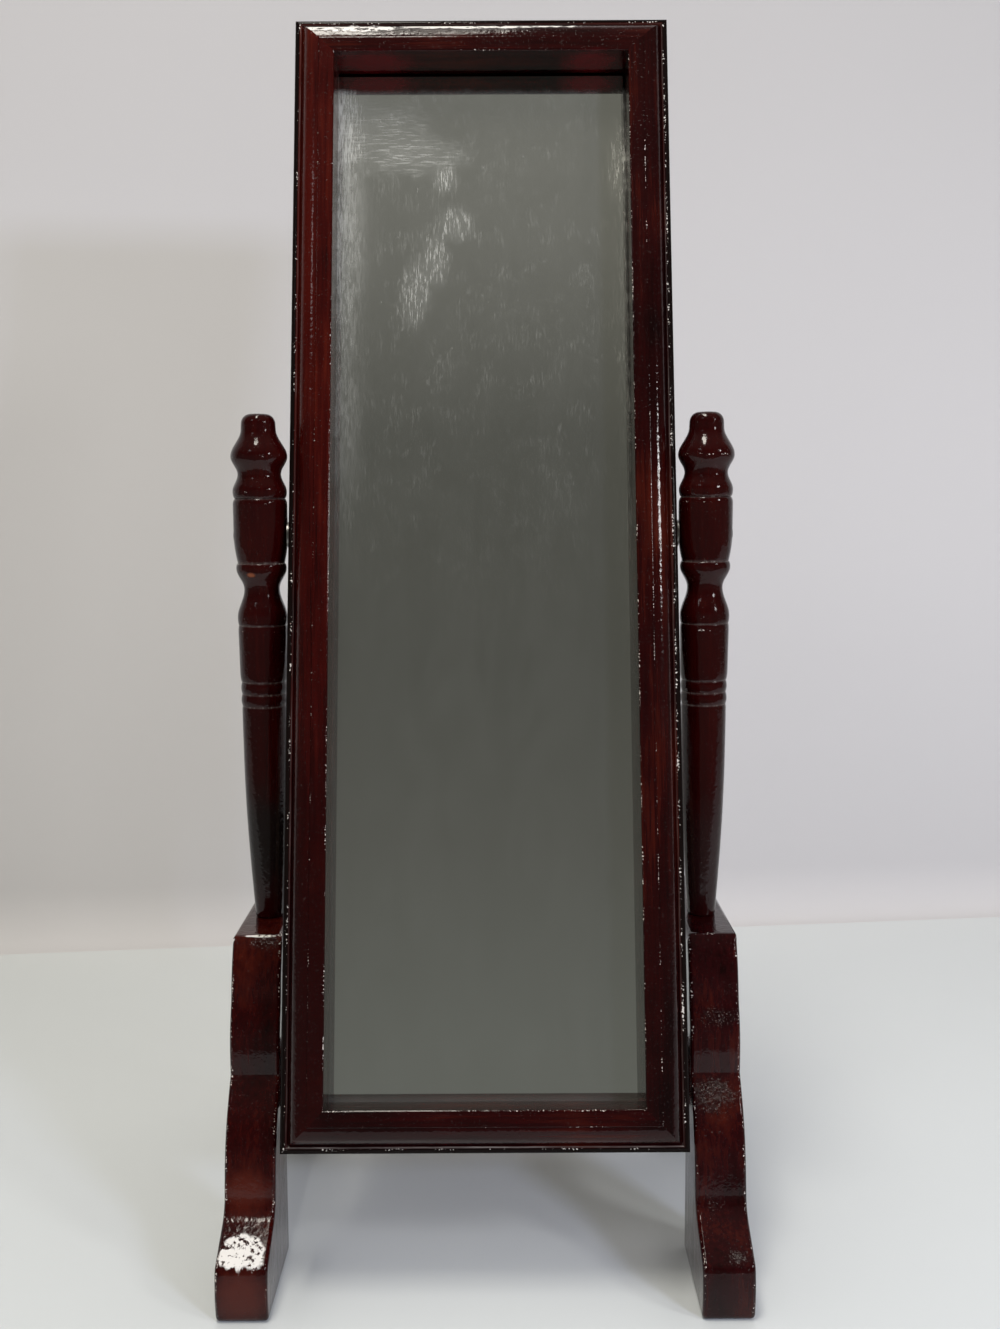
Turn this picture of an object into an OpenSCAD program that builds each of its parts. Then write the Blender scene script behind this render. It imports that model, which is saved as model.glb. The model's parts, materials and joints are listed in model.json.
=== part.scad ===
// Tabletop cheval mirror: a tall moulded frame hung between two turned posts
// that stand on profile-cut feet. Front faces -Y, up is +Z.
// Origin: on the table, in the middle between the four toes.

/* [Mirror frame] */
// Width of the frame over its outer edges
frame_width = 189; // [150:1:240]
// Height of the frame over its outer edges
frame_height = 557; // [420:1:650]
// Depth of the frame from its front flat to its back
frame_depth = 31; // [29:0.5:36]
// Width of one member from its outer edge to the inner arris
member_width = 20.7; // [19:0.1:26]
// Width of the front flat beside the inner arris
flat_width = 7.8; // [6:0.1:9]
// How far the outer edge lies behind the front flat
edge_setback = 8.4; // [7:0.1:10]
// Radius of the half-round bead along the outer edge
edge_bead_r = 2.2; // [1.8:0.1:3]
// Radius of the inner arris
arris_r = 0.8; // [0.4:0.1:1.5]
// Depth from the front flat to the glass
glass_setback = 21.4; // [20:0.1:23]
// Width of the lip in front of the glass
lip_cover = 6; // [4.5:0.1:7]
// Lean of the frame at rest, top away from the viewer
lean = 13.6; // [0:0.2:30]

/* [Glass and back] */
// Thickness of the mirror glass
glass_thickness = 3; // [2:0.1:3.5]
// Thickness of the backing board
backing_thickness = 3; // [2:0.1:3.5]
// Play at each side of the glass and the board in their rebate
rebate_play = 0.5; // [0.3:0.1:1.5]
// Diameter of a backing pin
pin_d = 1.2; // [1:0.1:1.6]
// Length of a backing pin
pin_length = 13; // [11:0.5:15]
// How deep a backing pin is pushed into the wood
pin_bite = 7; // [5:0.5:9]
// Backing pins along each stile
pins_per_stile = 4; // [2:1:6]
// Backing pins along each rail
pins_per_rail = 2; // [1:1:3]

/* [Frame corners] */
// Diameter of a corner nail
nail_d = 1.8; // [1.4:0.1:2.2]
// Length of a corner nail with its head
nail_length = 32; // [26:1:40]
// Diameter of a nail's head
nail_head_d = 3.2; // [2.8:0.1:4]
// Thickness of a nail's head
nail_head_t = 0.8; // [0.6:0.1:1.2]
// How far a nail's head is set below the wood
nail_sink = 0.5; // [0.3:0.1:1]
// Distance of the nails from the frame's side
nail_inset = 6; // [5:0.1:7]
// Depth of the front nail behind the front flat
nail_depth_front = 14; // [13:0.5:16]
// Depth of the rear nail behind the front flat
nail_depth_rear = 25; // [22:0.5:26]

/* [Pivots] */
// Height of the pivots above the middle of the frame
pivot_rise = 14; // [0:0.5:30]
// Depth of the pivots behind the front flat
pivot_depth = 17; // [16:0.1:18]
// Clear height under the frame as it swings through upright
swing_clearance = 59.2; // [55:0.1:80]
// Gap between the frame's side and a post
post_gap = 1.7; // [1.5:0.1:4]
// Diameter of a pivot screw's plain shank
screw_d = 4.4; // [4:0.1:5]
// Diameter of a pivot screw's thread
thread_d = 4; // [3.4:0.1:4]
// Depth of the thread in the stile
thread_depth = 12; // [10:0.5:13]
// Diameter of a pivot screw's countersunk head
screw_head_d = 8.2; // [7:0.1:9]
// How far the head lies below the post's surface
head_sink = 0.5; // [0.3:0.1:1]
// Width of the slots across the head
slot_width = 1.1; // [0.8:0.1:1.4]
// Depth of the slots
slot_depth = 1.2; // [0.8:0.1:1.4]
// Diameter of a pivot washer
washer_d = 13; // [11:0.5:14]

/* [Posts] */
// Diameter of the barrel that carries the pivot
barrel_d = 26.5; // [24:0.5:30]
// Length of the barrel above the pivot
barrel_above = 17.8; // [12:0.1:24]
// Length of the barrel below the pivot
barrel_below = 13.7; // [10:0.1:20]
// Swell of the barrel's outline below the pivot
barrel_swell = 0.4; // [0:0.05:0.6]
// Diameter of the lower barrel
lower_barrel_d = 24.1; // [22:0.1:27]
// Length of the lower barrel
lower_barrel_length = 28.2; // [20:0.1:36]
// How much thinner the lower barrel is at its foot
lower_barrel_taper = 0.6; // [0:0.1:1]
// Distance between the rings below the lower barrel
ring_pitch = 6; // [4:0.1:7]
// Number of rings
ring_count = 2; // [1:1:3]
// Diameter at the top of the tapered shaft
shaft_top_d = 22.3; // [20:0.1:25]
// Diameter at the foot of the tapered shaft
shaft_foot_d = 14.0; // [13:0.1:18]
// Swell of the tapered shaft's outline
shaft_swell = 1.15; // [0:0.05:1.5]
// Radius of the rounded end of the shaft
shaft_end_r = 1.2; // [0.6:0.1:1.5]
// Diameter of the tenon under a post
tenon_d = 9; // [7:0.1:9.6]
// Length of the tenon
tenon_length = 28; // [20:1:36]
// Distance of the posts in front of the middle of the feet
post_forward = 20; // [0:1:28]

/* [Feet] */
// Thickness of a foot's board
foot_thickness = 24; // [20:0.5:30]
// Gap between the frame's side and a foot
foot_gap = 3.5; // [2:0.1:6]
// Height of a foot
foot_height = 160; // [152:1:175]
// Length of the top block over its eased edges
top_length = 107; // [100:1:112]
// Length of the eased edge at either end of the top
top_ease = 3.5; // [2:0.1:5]
// Drop of the eased edge
top_drop = 1.6; // [0.5:0.1:3]
// Height of the ledge under the top block
ledge_height = 130; // [124:0.5:136]
// Reach of the ledge from the middle of the foot
ledge_reach = 64; // [60:0.5:68]
// Swell of the face above the ledge
ledge_swell = 1.5; // [0.5:0.1:3]
// Height of the notch
notch_height = 96.5; // [90:0.5:102]
// Reach of the notch from the middle of the foot
notch_reach = 69.8; // [68:0.1:74]
// Swell of the face above the notch
notch_swell = 2.6; // [1:0.1:4]
// Height of the shin's lower end
shin_height = 48; // [44:0.5:54]
// Reach of the shin from the middle of the foot
shin_reach = 91.7; // [86:0.1:96]
// Swell of the shin
shin_swell = 4.6; // [2:0.1:6]
// Radius of the cove between shin and toe
cove_r = 12.6; // [6:0.1:14]
// Height of the toe
toe_height = 25.8; // [20:0.1:30]
// Reach of the toe from the middle of the foot
toe_reach = 119.5; // [114:0.5:130]
// Swell of the toe's end
toe_swell = 1.75; // [0.5:0.05:3]
// Radius of the rounding where a toe meets the table
sole_r = 1.8; // [1:0.1:3]
// Width of the arch between the two toes
arch_width = 108; // [96:1:116]
// Height of the arch
arch_height = 58; // [50:0.5:66]
// Radius of the arch's upper corners
arch_corner_r = 12; // [6:1:20]

/* [Stretcher] */
// Thickness of the stretcher
stretcher_thickness = 18; // [14:0.5:22]
// Height of the stretcher's section
stretcher_height = 36; // [30:0.5:42]
// Height of the stretcher above the table
stretcher_lift = 20; // [12:0.5:28]
// Chamfer along the stretcher's edges
stretcher_chamfer = 2; // [0.5:0.1:4]
// Diameter of a dowel
dowel_d = 8; // [6:0.1:9]
// Distance between the two dowels of an end
dowel_spacing = 18; // [14:0.5:20]
// Depth of a dowel in the foot
dowel_in_foot = 14; // [10:0.5:17]
// Depth of a dowel in the stretcher
dowel_in_stretcher = 22; // [14:0.5:30]

/* [Fits] */
// Running clearance of the shank in its post, on the radius
running_fit = 0.05; // [0.02:0.01:0.1]
// Clearance of pins, nails, tenons and dowels in their holes, on the radius
glue_fit = 0.05; // [0.02:0.01:0.1]
// Clearance of a screw in its washer, on the radius
washer_fit = 0.15; // [0.05:0.05:0.4]
// Clearance between the turning frame and the posts
turning_gap = 0.35; // [0.3:0.05:0.6]
// Extra depth of a blind hole beyond what it holds
hole_relief = 0.5; // [0.3:0.1:1.5]

/* [Hidden] */
$fn = 96;

// Colours of the finishes
lacquer_red = "#4a1216";
lacquer_dark = "#34090d";
glass_grey = "#8a9088";
board_brown = "#8b6a48";
beech_pale = "#c9a577";
steel_grey = "#9a9a98";

// Points in one curved stretch of an outline
curve_steps = 10;
// A cut goes this far past the face that it opens
overcut = 1;

// Places of the frame, from the pivot axis, along the frame's own plane
frame_half = frame_width / 2;
frame_top = frame_height / 2 - pivot_rise;
frame_bottom = -frame_height / 2 - pivot_rise;
frame_middle = (frame_top + frame_bottom) / 2;
front_y = -pivot_depth;
glass_y = front_y + glass_setback;
backing_y = glass_y + glass_thickness;
backing_rear_y = backing_y + backing_thickness;
rebate_inset = member_width - lip_cover;
pane_width = frame_width - 2 * (rebate_inset + rebate_play);
pane_height = frame_height - 2 * (rebate_inset + rebate_play);

// The furthest corner of the turning frame sets the height of the pivots
swing_radius = norm([max(frame_top, -frame_bottom), max(pivot_depth, frame_depth - pivot_depth)]);
pivot_z = swing_radius + swing_clearance;
post_x = frame_half + post_gap + barrel_d / 2;
post_y = -post_forward;
foot_inner_x = frame_half + foot_gap;

// Stretcher, in the middle of the rear legs
stretcher_y = (arch_width / 2 + shin_reach) / 2;
stretcher_z = stretcher_lift + stretcher_height / 2;

// Angle that the bead turns through, from the outer side down into its groove
bead_turn = 150;
// Depth of the small step between the rounded face and the flat
quirk_depth = 0.4;
// Width of that step, and of the groove's floor
quirk_width = 0.25;

// Turned head: how far its high and low points lie above the barrel
bead_rise = 3.5;
head_neck_rise = 11.9;
bulge_rise = 20.4;
head_waist_rise = 33.7;
knob_rise = 36;
head_rise = 41;
// Turned waist: how far its high and low points lie below the barrel
bead_drop = 2.5;
neck_drop = 12.6;
bell_drop = 26.8;
waist_drop = 30.5;
// All diameters of head and waist follow the barrel's
upper_groove_d = 0.902 * barrel_d;
upper_bead_d = 0.996 * barrel_d;
head_neck_d = 0.8 * barrel_d;
bulge_d = 1.042 * barrel_d;
head_waist_d = 0.642 * barrel_d;
knob_d = 0.634 * barrel_d;
head_top_d = 0.3 * barrel_d;
lower_groove_d = 0.864 * barrel_d;
lower_bead_d = 0.932 * barrel_d;
neck_d = 0.657 * barrel_d;
bell_d = 0.92 * barrel_d;
waist_groove_d = 0.872 * barrel_d;
// Height of the rounded shoulder at the upper end of a barrel
shoulder = 3;
// Height of the rounded foot of the lower barrel
barrel_foot_round = 6;
// Rings and their grooves follow the lower barrel's diameter
ring_d = 0.95 * lower_barrel_d;
ring_groove_d = 0.905 * lower_barrel_d;
// Plain band between the lowest groove and the tapered shaft
shaft_step = 1.5;

// Line from a to b, bowed to its right by the given rise
function bowed(a, b, rise, n = curve_steps) =
    let (along = (b - a) / norm(b - a), right = [along[1], -along[0]])
    [for (i = [0:n]) a + (b - a) * i / n + right * rise * sin(180 * i / n)];

// Soft S from a to b that leaves and arrives along the second axis
function eased(a, b, n = curve_steps) =
    [for (i = [0:n]) [a[0] + (b[0] - a[0]) * (1 - cos(180 * i / n)) / 2, a[1] + (b[1] - a[1]) * i / n]];

// Quarter round from a, leaving along the first axis, to b, arriving along the second
function rounded(a, b, n = curve_steps) =
    [for (i = [0:n]) [a[0] + (b[0] - a[0]) * sin(90 * i / n), a[1] + (b[1] - a[1]) * (1 - cos(90 * i / n))]];

// The same points, last first
function reversed(points) = [for (i = [len(points) - 1:-1:0]) points[i]];

// Point of a turned outline: radius and height
function turned(diameter, height) = [diameter / 2, height];

// Foot

// Front half of a foot's outline: reach and height, from the top down to the sole
function foot_half_outline() =
    let (
        edge = [top_length / 2, foot_height - top_drop],
        ledge = [ledge_reach, ledge_height],
        notch = [notch_reach, notch_height],
        shin = [shin_reach, shin_height],
        toe = [toe_reach - toe_swell, toe_height],
        cove_centre = shin + [cove_r, 0],
        to_toe = toe - cove_centre,
        cove_end = atan2(to_toe[1], to_toe[0]) - acos(cove_r / norm(to_toe))
    )
    concat(
        [[top_length / 2 - top_ease, foot_height]],
        bowed(edge, ledge, -ledge_swell),
        bowed(ledge, notch, -notch_swell),
        bowed(notch, shin, -shin_swell),
        [for (i = [1:curve_steps])
            let (a = -180 + (180 + cove_end) * i / curve_steps) cove_centre + cove_r * [cos(a), sin(a)]],
        bowed(toe, [toe[0], sole_r], -toe_swell),
        reversed(rounded([toe[0] - sole_r, 0], [toe[0], sole_r]))
    );

module foot_side() {
    half = foot_half_outline();
    difference() {
        polygon(concat(half, [for (p = reversed(half)) [-p[0], p[1]]]));
        arch();
    }
}

module arch() {
    spring_height = arch_height - arch_corner_r;
    translate([-arch_width / 2, -overcut]) square([arch_width, spring_height + overcut]);
    translate([-arch_width / 2 + arch_corner_r, 0]) square([arch_width - 2 * arch_corner_r, arch_height]);
    for (side = [-1, 1])
        translate([side * (arch_width / 2 - arch_corner_r), spring_height]) circle(arch_corner_r);
}

// Foot on the right; the left one is its mirror image
module foot() {
    color(lacquer_red) difference() {
        translate([foot_inner_x, 0, 0])
            rotate([90, 0, 90]) linear_extrude(foot_thickness) foot_side();
        translate([post_x, post_y, foot_height - tenon_length - hole_relief])
            cylinder(h = tenon_length + hole_relief + overcut, d = tenon_d + 2 * glue_fit);
        dowel_holes(foot_inner_x - overcut, dowel_in_foot + hole_relief + overcut);
    }
}

// Two holes along X that start at x
module dowel_holes(x, depth) {
    for (level = [-1, 1])
        translate([x, stretcher_y, stretcher_z + level * dowel_spacing / 2])
            rotate([0, 90, 0]) cylinder(h = depth, d = dowel_d + 2 * glue_fit);
}

// Stretcher

module rear_stretcher() {
    t = stretcher_thickness / 2;
    h = stretcher_height / 2;
    c = stretcher_chamfer;
    color(lacquer_dark) difference() {
        translate([-foot_inner_x, stretcher_y, stretcher_z])
            rotate([90, 0, 90]) linear_extrude(2 * foot_inner_x)
                polygon([[-t + c, -h], [t - c, -h], [t, -h + c], [t, h - c],
                         [t - c, h], [-t + c, h], [-t, h - c], [-t, -h + c]]);
        for (side = [0, 1]) mirror([side, 0, 0])
            dowel_holes(foot_inner_x - dowel_in_stretcher - hole_relief,
                        dowel_in_stretcher + hole_relief + overcut);
    }
}

// Dowels on the right
module stretcher_dowels() {
    color(beech_pale) for (level = [-1, 1])
        translate([foot_inner_x - dowel_in_stretcher, stretcher_y, stretcher_z + level * dowel_spacing / 2])
            rotate([0, 90, 0]) cylinder(h = dowel_in_stretcher + dowel_in_foot, d = dowel_d);
}

// Post

// Rings between the lower barrel and the shaft, from the lowest groove up
function ring_outline(z) = [
    for (k = [0:ring_count - 1])
        let (groove = turned(ring_groove_d, z + k * ring_pitch), ring_rise = (ring_d - ring_groove_d) / 2)
            for (point = bowed(groove, groove + [0, ring_pitch], ring_rise)) point
];

// Outline of a post: radius and height, from the tenon up to the knob
function post_outline() =
    let (
        barrel_top = pivot_z + barrel_above,
        barrel_foot = pivot_z - barrel_below,
        upper_groove = turned(upper_groove_d, barrel_top),
        upper_bead = turned(upper_bead_d, barrel_top + bead_rise),
        head_neck = turned(head_neck_d, barrel_top + head_neck_rise),
        bulge = turned(bulge_d, barrel_top + bulge_rise),
        head_waist = turned(head_waist_d, barrel_top + head_waist_rise),
        knob = turned(knob_d, barrel_top + knob_rise),
        head_top = turned(head_top_d, barrel_top + head_rise),
        lower_groove = turned(lower_groove_d, barrel_foot),
        lower_bead = turned(lower_bead_d, barrel_foot - bead_drop),
        neck = turned(neck_d, barrel_foot - neck_drop),
        bell = turned(bell_d, barrel_foot - bell_drop),
        waist_groove = turned(waist_groove_d, barrel_foot - waist_drop),
        lower_foot_z = waist_groove[1] - lower_barrel_length,
        lower_foot_d = lower_barrel_d - lower_barrel_taper,
        shaft_top_z = lower_foot_z - ring_count * ring_pitch,
        shaft_top = turned(shaft_top_d, shaft_top_z - shaft_step),
        shaft_foot = turned(shaft_foot_d, foot_height + shaft_end_r)
    )
    concat(
        [[0, foot_height - tenon_length]],
        [turned(tenon_d, foot_height - tenon_length), turned(tenon_d, foot_height)],
        rounded([shaft_foot[0] - shaft_end_r, foot_height], shaft_foot),
        bowed(shaft_foot, shaft_top, shaft_swell),
        ring_outline(shaft_top_z),
        rounded(turned(ring_groove_d, lower_foot_z), turned(lower_foot_d, lower_foot_z + barrel_foot_round)),
        reversed(rounded(waist_groove, turned(lower_barrel_d, waist_groove[1] - shoulder))),
        rounded(waist_groove, bell),
        eased(bell, neck),
        eased(neck, lower_bead),
        reversed(rounded(lower_groove, lower_bead)),
        bowed(lower_groove, turned(barrel_d, pivot_z), barrel_swell),
        reversed(rounded(upper_groove, turned(barrel_d, barrel_top - shoulder))),
        rounded(upper_groove, upper_bead),
        eased(upper_bead, head_neck),
        eased(head_neck, bulge),
        eased(bulge, head_waist),
        reversed(rounded(head_top, knob)),
        [[0, head_top[1]]]
    );

// Places along the pivot axis, from the middle of the mirror
head_face_x = post_x + barrel_d / 2 - head_sink;
head_length = (screw_head_d - screw_d) / 2;
head_root_x = head_face_x - head_length;
// Both cones slope at 45 degrees, so this distance along the axis leaves the turning gap between them
head_gap = turning_gap * sqrt(2);
sink_length = head_gap + head_length + head_sink + overcut;

// Post on the right; the left one is its mirror image
module post() {
    color(lacquer_red) difference() {
        translate([post_x, post_y, 0]) rotate_extrude() polygon(post_outline());
        translate([post_x - barrel_d, post_y, pivot_z])
            rotate([0, 90, 0]) cylinder(h = 2 * barrel_d, d = screw_d + 2 * running_fit);
        translate([head_root_x - head_gap, post_y, pivot_z])
            rotate([0, 90, 0]) cylinder(h = sink_length, d1 = screw_d, d2 = screw_d + 2 * sink_length);
    }
}

// Pivots

// Frame's own place: the pivot axis on the origin, upright, front towards -Y
module hung() {
    translate([0, post_y, pivot_z]) rotate([-lean, 0, 0]) children();
}

// Pivot screw on the right
module pivot_screw() {
    color(steel_grey) hung() rotate([0, 90, 0]) difference() {
        union() {
            translate([0, 0, frame_half - thread_depth]) cylinder(h = thread_depth, d = thread_d);
            translate([0, 0, frame_half]) cylinder(h = head_root_x - frame_half, d = screw_d);
            translate([0, 0, head_root_x]) cylinder(h = head_length, d1 = screw_d, d2 = screw_head_d);
        }
        for (turn = [0, 90])
            rotate([0, 0, turn]) translate([-screw_d / 2, -slot_width / 2, head_face_x - slot_depth])
                cube([screw_d, slot_width, slot_depth + overcut]);
    }
}

// Washer that keeps the frame off the right post
module pivot_washer() {
    color(steel_grey) hung() translate([frame_half, 0, 0]) rotate([0, 90, 0]) difference() {
        cylinder(h = post_gap - turning_gap, d = washer_d);
        translate([0, 0, -overcut]) cylinder(h = post_gap + 2 * overcut, d = screw_d + 2 * washer_fit);
    }
}

// Frame members

// Section of the moulding: depth behind the pivot axis, and distance in from the outer edge
function moulding_section() =
    let (
        bead_y = front_y + edge_setback,
        bead = [for (a = [0:15:bead_turn]) [bead_y - edge_bead_r * sin(a), edge_bead_r * (1 - cos(a))]],
        round_start = bead[len(bead) - 1] + [0, quirk_width],
        round_end = [front_y + quirk_depth, member_width - flat_width]
    )
    concat(
        [[front_y + frame_depth, 0]],
        bead,
        rounded(round_start, round_end),
        [[front_y, member_width - flat_width + quirk_width]],
        [for (a = [0:22.5:90]) [front_y + arris_r * (1 - cos(a)), member_width - arris_r * (1 - sin(a))]],
        [[glass_y, member_width], [glass_y, rebate_inset], [front_y + frame_depth, rebate_inset]]
    );

// One member along X with its outer edge up, mitred at both ends
module moulding(length) {
    intersection() {
        translate([-length / 2, 0, 0]) rotate([90, 0, 90]) linear_extrude(length)
            polygon([for (p = moulding_section()) [p[0], -p[1]]]);
        translate([0, frame_depth, 0]) rotate([90, 0, 0]) linear_extrude(2 * frame_depth)
            polygon([[-length / 2, 0], [length / 2, 0],
                     [length / 2 - frame_depth, -frame_depth], [-length / 2 + frame_depth, -frame_depth]]);
    }
}

// Holes for the pins along one member, its outer edge up
module pin_holes(length, count) {
    for (i = [1:count])
        translate([(i - (count + 1) / 2) * length / count, backing_rear_y + pin_d / 2 + glue_fit,
                   -rebate_inset - overcut])
            cylinder(h = pin_bite + hole_relief + overcut, d = pin_d + 2 * glue_fit);
}

// Pins along one member, its outer edge up
module pins(length, count) {
    for (i = [1:count])
        translate([(i - (count + 1) / 2) * length / count, backing_rear_y + pin_d / 2 + glue_fit,
                   -rebate_inset + pin_bite - pin_length])
            cylinder(h = pin_length, d = pin_d);
}

// What is repeated at the nail places of a member, its outer edge up
module at_nails() {
    for (side = [-1, 1])
        for (depth = [nail_depth_front, nail_depth_rear])
            translate([side * (frame_half - nail_inset), front_y + depth, 0]) children();
}

module nail_holes() {
    at_nails() {
        translate([0, 0, -nail_length - nail_sink - hole_relief])
            cylinder(h = nail_length + nail_sink + hole_relief, d = nail_d + 2 * glue_fit);
        translate([0, 0, -nail_sink - nail_head_t])
            cylinder(h = nail_sink + nail_head_t + overcut, d = nail_head_d + 2 * glue_fit);
    }
}

module nails() {
    at_nails() {
        translate([0, 0, -nail_sink - nail_length]) cylinder(h = nail_length, d = nail_d);
        translate([0, 0, -nail_sink - nail_head_t]) cylinder(h = nail_head_t, d = nail_head_d);
    }
}

module at_top() {
    translate([0, 0, frame_top]) children();
}

module at_bottom() {
    translate([0, 0, frame_bottom]) rotate([0, 180, 0]) children();
}

module rail() {
    difference() {
        moulding(frame_width);
        nail_holes();
        pin_holes(pane_width, pins_per_rail);
    }
}

// Stile on the right; the left one is its mirror image
module stile() {
    color(lacquer_dark) hung() difference() {
        translate([frame_half, 0, frame_middle]) rotate([0, 90, 0]) difference() {
            moulding(frame_height);
            pin_holes(pane_height, pins_per_stile);
        }
        at_top() nail_holes();
        at_bottom() nail_holes();
        translate([frame_half - thread_depth - hole_relief, 0, 0]) rotate([0, 90, 0])
            cylinder(h = thread_depth + hole_relief + overcut, d = thread_d + 2 * glue_fit);
    }
}

// Glass and back

// A sheet that stands in the rebate of the bottom rail
module pane(y, thickness) {
    translate([-pane_width / 2, y, frame_bottom + rebate_inset]) cube([pane_width, thickness, pane_height]);
}

module backing_pins() {
    color(steel_grey) hung() {
        at_top() pins(pane_width, pins_per_rail);
        at_bottom() pins(pane_width, pins_per_rail);
        for (side = [-1, 1])
            translate([side * frame_half, 0, frame_middle]) rotate([0, side * 90, 0])
                pins(pane_height, pins_per_stile);
    }
}

mirror([1, 0, 0]) foot();  // left_foot
foot();  // right_foot
rear_stretcher();
mirror([1, 0, 0]) stretcher_dowels();  // left_stretcher_dowels
stretcher_dowels();  // right_stretcher_dowels
mirror([1, 0, 0]) post();  // left_post
post();  // right_post
color(lacquer_dark) hung() at_top() rail();  // frame_top_rail
color(lacquer_dark) hung() at_bottom() rail();  // frame_bottom_rail
mirror([1, 0, 0]) stile();  // frame_left_stile
stile();  // frame_right_stile
color(steel_grey) hung() at_top() nails();  // top_corner_nails
color(steel_grey) hung() at_bottom() nails();  // bottom_corner_nails
color(glass_grey) hung() pane(glass_y, glass_thickness);  // mirror_glass
color(board_brown) hung() pane(backing_y, backing_thickness);  // backing_board
backing_pins();
mirror([1, 0, 0]) pivot_screw();  // left_pivot_screw
pivot_screw();  // right_pivot_screw
mirror([1, 0, 0]) pivot_washer();  // left_pivot_washer
pivot_washer();  // right_pivot_washer
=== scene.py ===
"""Looks of a tabletop cheval mirror: lacquered mahogany frame, turned posts, profile-cut feet."""
import json
import logging
import math
from contextlib import contextmanager
from dataclasses import dataclass
from enum import Enum
from typing import Any, Callable, Iterable, Iterator, Sequence

import bmesh
import bpy
from mathutils import Matrix, Vector


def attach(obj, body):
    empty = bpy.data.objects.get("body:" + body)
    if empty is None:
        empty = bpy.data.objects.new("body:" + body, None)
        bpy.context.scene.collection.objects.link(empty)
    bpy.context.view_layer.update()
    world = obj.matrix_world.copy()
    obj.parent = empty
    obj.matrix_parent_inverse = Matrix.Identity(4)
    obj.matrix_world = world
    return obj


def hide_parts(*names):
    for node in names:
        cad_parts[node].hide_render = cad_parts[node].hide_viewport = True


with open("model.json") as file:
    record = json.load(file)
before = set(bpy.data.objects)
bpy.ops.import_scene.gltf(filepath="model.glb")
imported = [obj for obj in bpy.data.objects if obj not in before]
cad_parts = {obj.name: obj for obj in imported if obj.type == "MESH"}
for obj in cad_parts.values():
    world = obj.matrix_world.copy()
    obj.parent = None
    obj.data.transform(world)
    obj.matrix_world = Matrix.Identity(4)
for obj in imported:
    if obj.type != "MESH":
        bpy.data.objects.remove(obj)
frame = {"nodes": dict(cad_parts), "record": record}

LOG = logging.getLogger("cheval_mirror")
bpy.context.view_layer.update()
MM = 0.001
LEAN = math.radians(13.6)
PIVOT = Vector(frame["record"]["behaviour"]["joints"][0]["pos_m"])
STAND = "stand"
TILTING = "mirror_frame"

Point = tuple[float, float]
Place = tuple[float, float, float]
Colour = tuple[float, float, float]
EdgeTest = Callable[[Vector, Vector], bool]


class Side(Enum):
    """Left or right half of the mirror, as the sign of X."""

    LEFT = -1
    RIGHT = 1

    def label(self, rest: str) -> str:
        """A name that starts with the side."""
        return f"{self.name.lower()}_{rest}"


class Grain(Enum):
    """The axis that the wood's grain runs along, by its number."""

    ACROSS = 0
    UPRIGHT = 2


# Outlines


def bowed(a: Point, b: Point, rise: float, steps: int = 12) -> list[Point]:
    """Gives a line from a to b that is bowed to its right.

    Args:
        a: Start of the line.
        b: End of the line.
        rise: Height of the bow; negative bows to the left.
        steps: Number of stretches.

    Returns:
        The points, both ends included.
    """
    along = Vector(b) - Vector(a)
    right = Vector((along.y, -along.x)).normalized()
    points = []
    for i in range(steps + 1):
        t = i / steps
        spot = Vector(a) + along * t + right * (rise * math.sin(math.pi * t))
        points.append((spot.x, spot.y))
    return points


def eased(a: Point, b: Point, steps: int = 14) -> list[Point]:
    """Gives a soft S from a to b that leaves and arrives along the second axis.

    Args:
        a: Start of the line.
        b: End of the line.
        steps: Number of stretches.

    Returns:
        The points, both ends included.
    """
    points = []
    for i in range(steps + 1):
        swing = (1 - math.cos(math.pi * i / steps)) / 2
        points.append((a[0] + (b[0] - a[0]) * swing, a[1] + (b[1] - a[1]) * i / steps))
    return points


def rounded(a: Point, b: Point, steps: int = 9) -> list[Point]:
    """Gives a quarter round that leaves a along the first axis and reaches b along the second.

    Args:
        a: Start of the line.
        b: End of the line.
        steps: Number of stretches.

    Returns:
        The points, both ends included.
    """
    points = []
    for i in range(steps + 1):
        angle = math.pi / 2 * i / steps
        out, up = math.sin(angle), 1 - math.cos(angle)
        points.append((a[0] + (b[0] - a[0]) * out, a[1] + (b[1] - a[1]) * up))
    return points


def joined(*stretches: Iterable[Point], gap: float = 0.02) -> list[Point]:
    """Strings stretches of an outline together.

    Args:
        *stretches: The stretches, in order.
        gap: A point that lies nearer than this to the one before is dropped.

    Returns:
        The points of the whole outline.
    """
    points: list[Point] = []
    for stretch in stretches:
        for point in stretch:
            if not points or math.dist(points[-1], point) > gap:
                points.append(point)
    return points


def finer(points: Sequence[Point], most: float) -> list[Point]:
    """Splits the long stretches of an outline.

    Args:
        points: The outline.
        most: The greatest length of a stretch.

    Returns:
        The outline with the points that were added.
    """
    fine = [points[0]]
    for a, b in zip(points, points[1:]):
        count = max(1, math.ceil(math.dist(a, b) / most))
        for i in range(1, count + 1):
            fine.append((a[0] + (b[0] - a[0]) * i / count, a[1] + (b[1] - a[1]) * i / count))
    return fine


# Modelling


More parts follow.
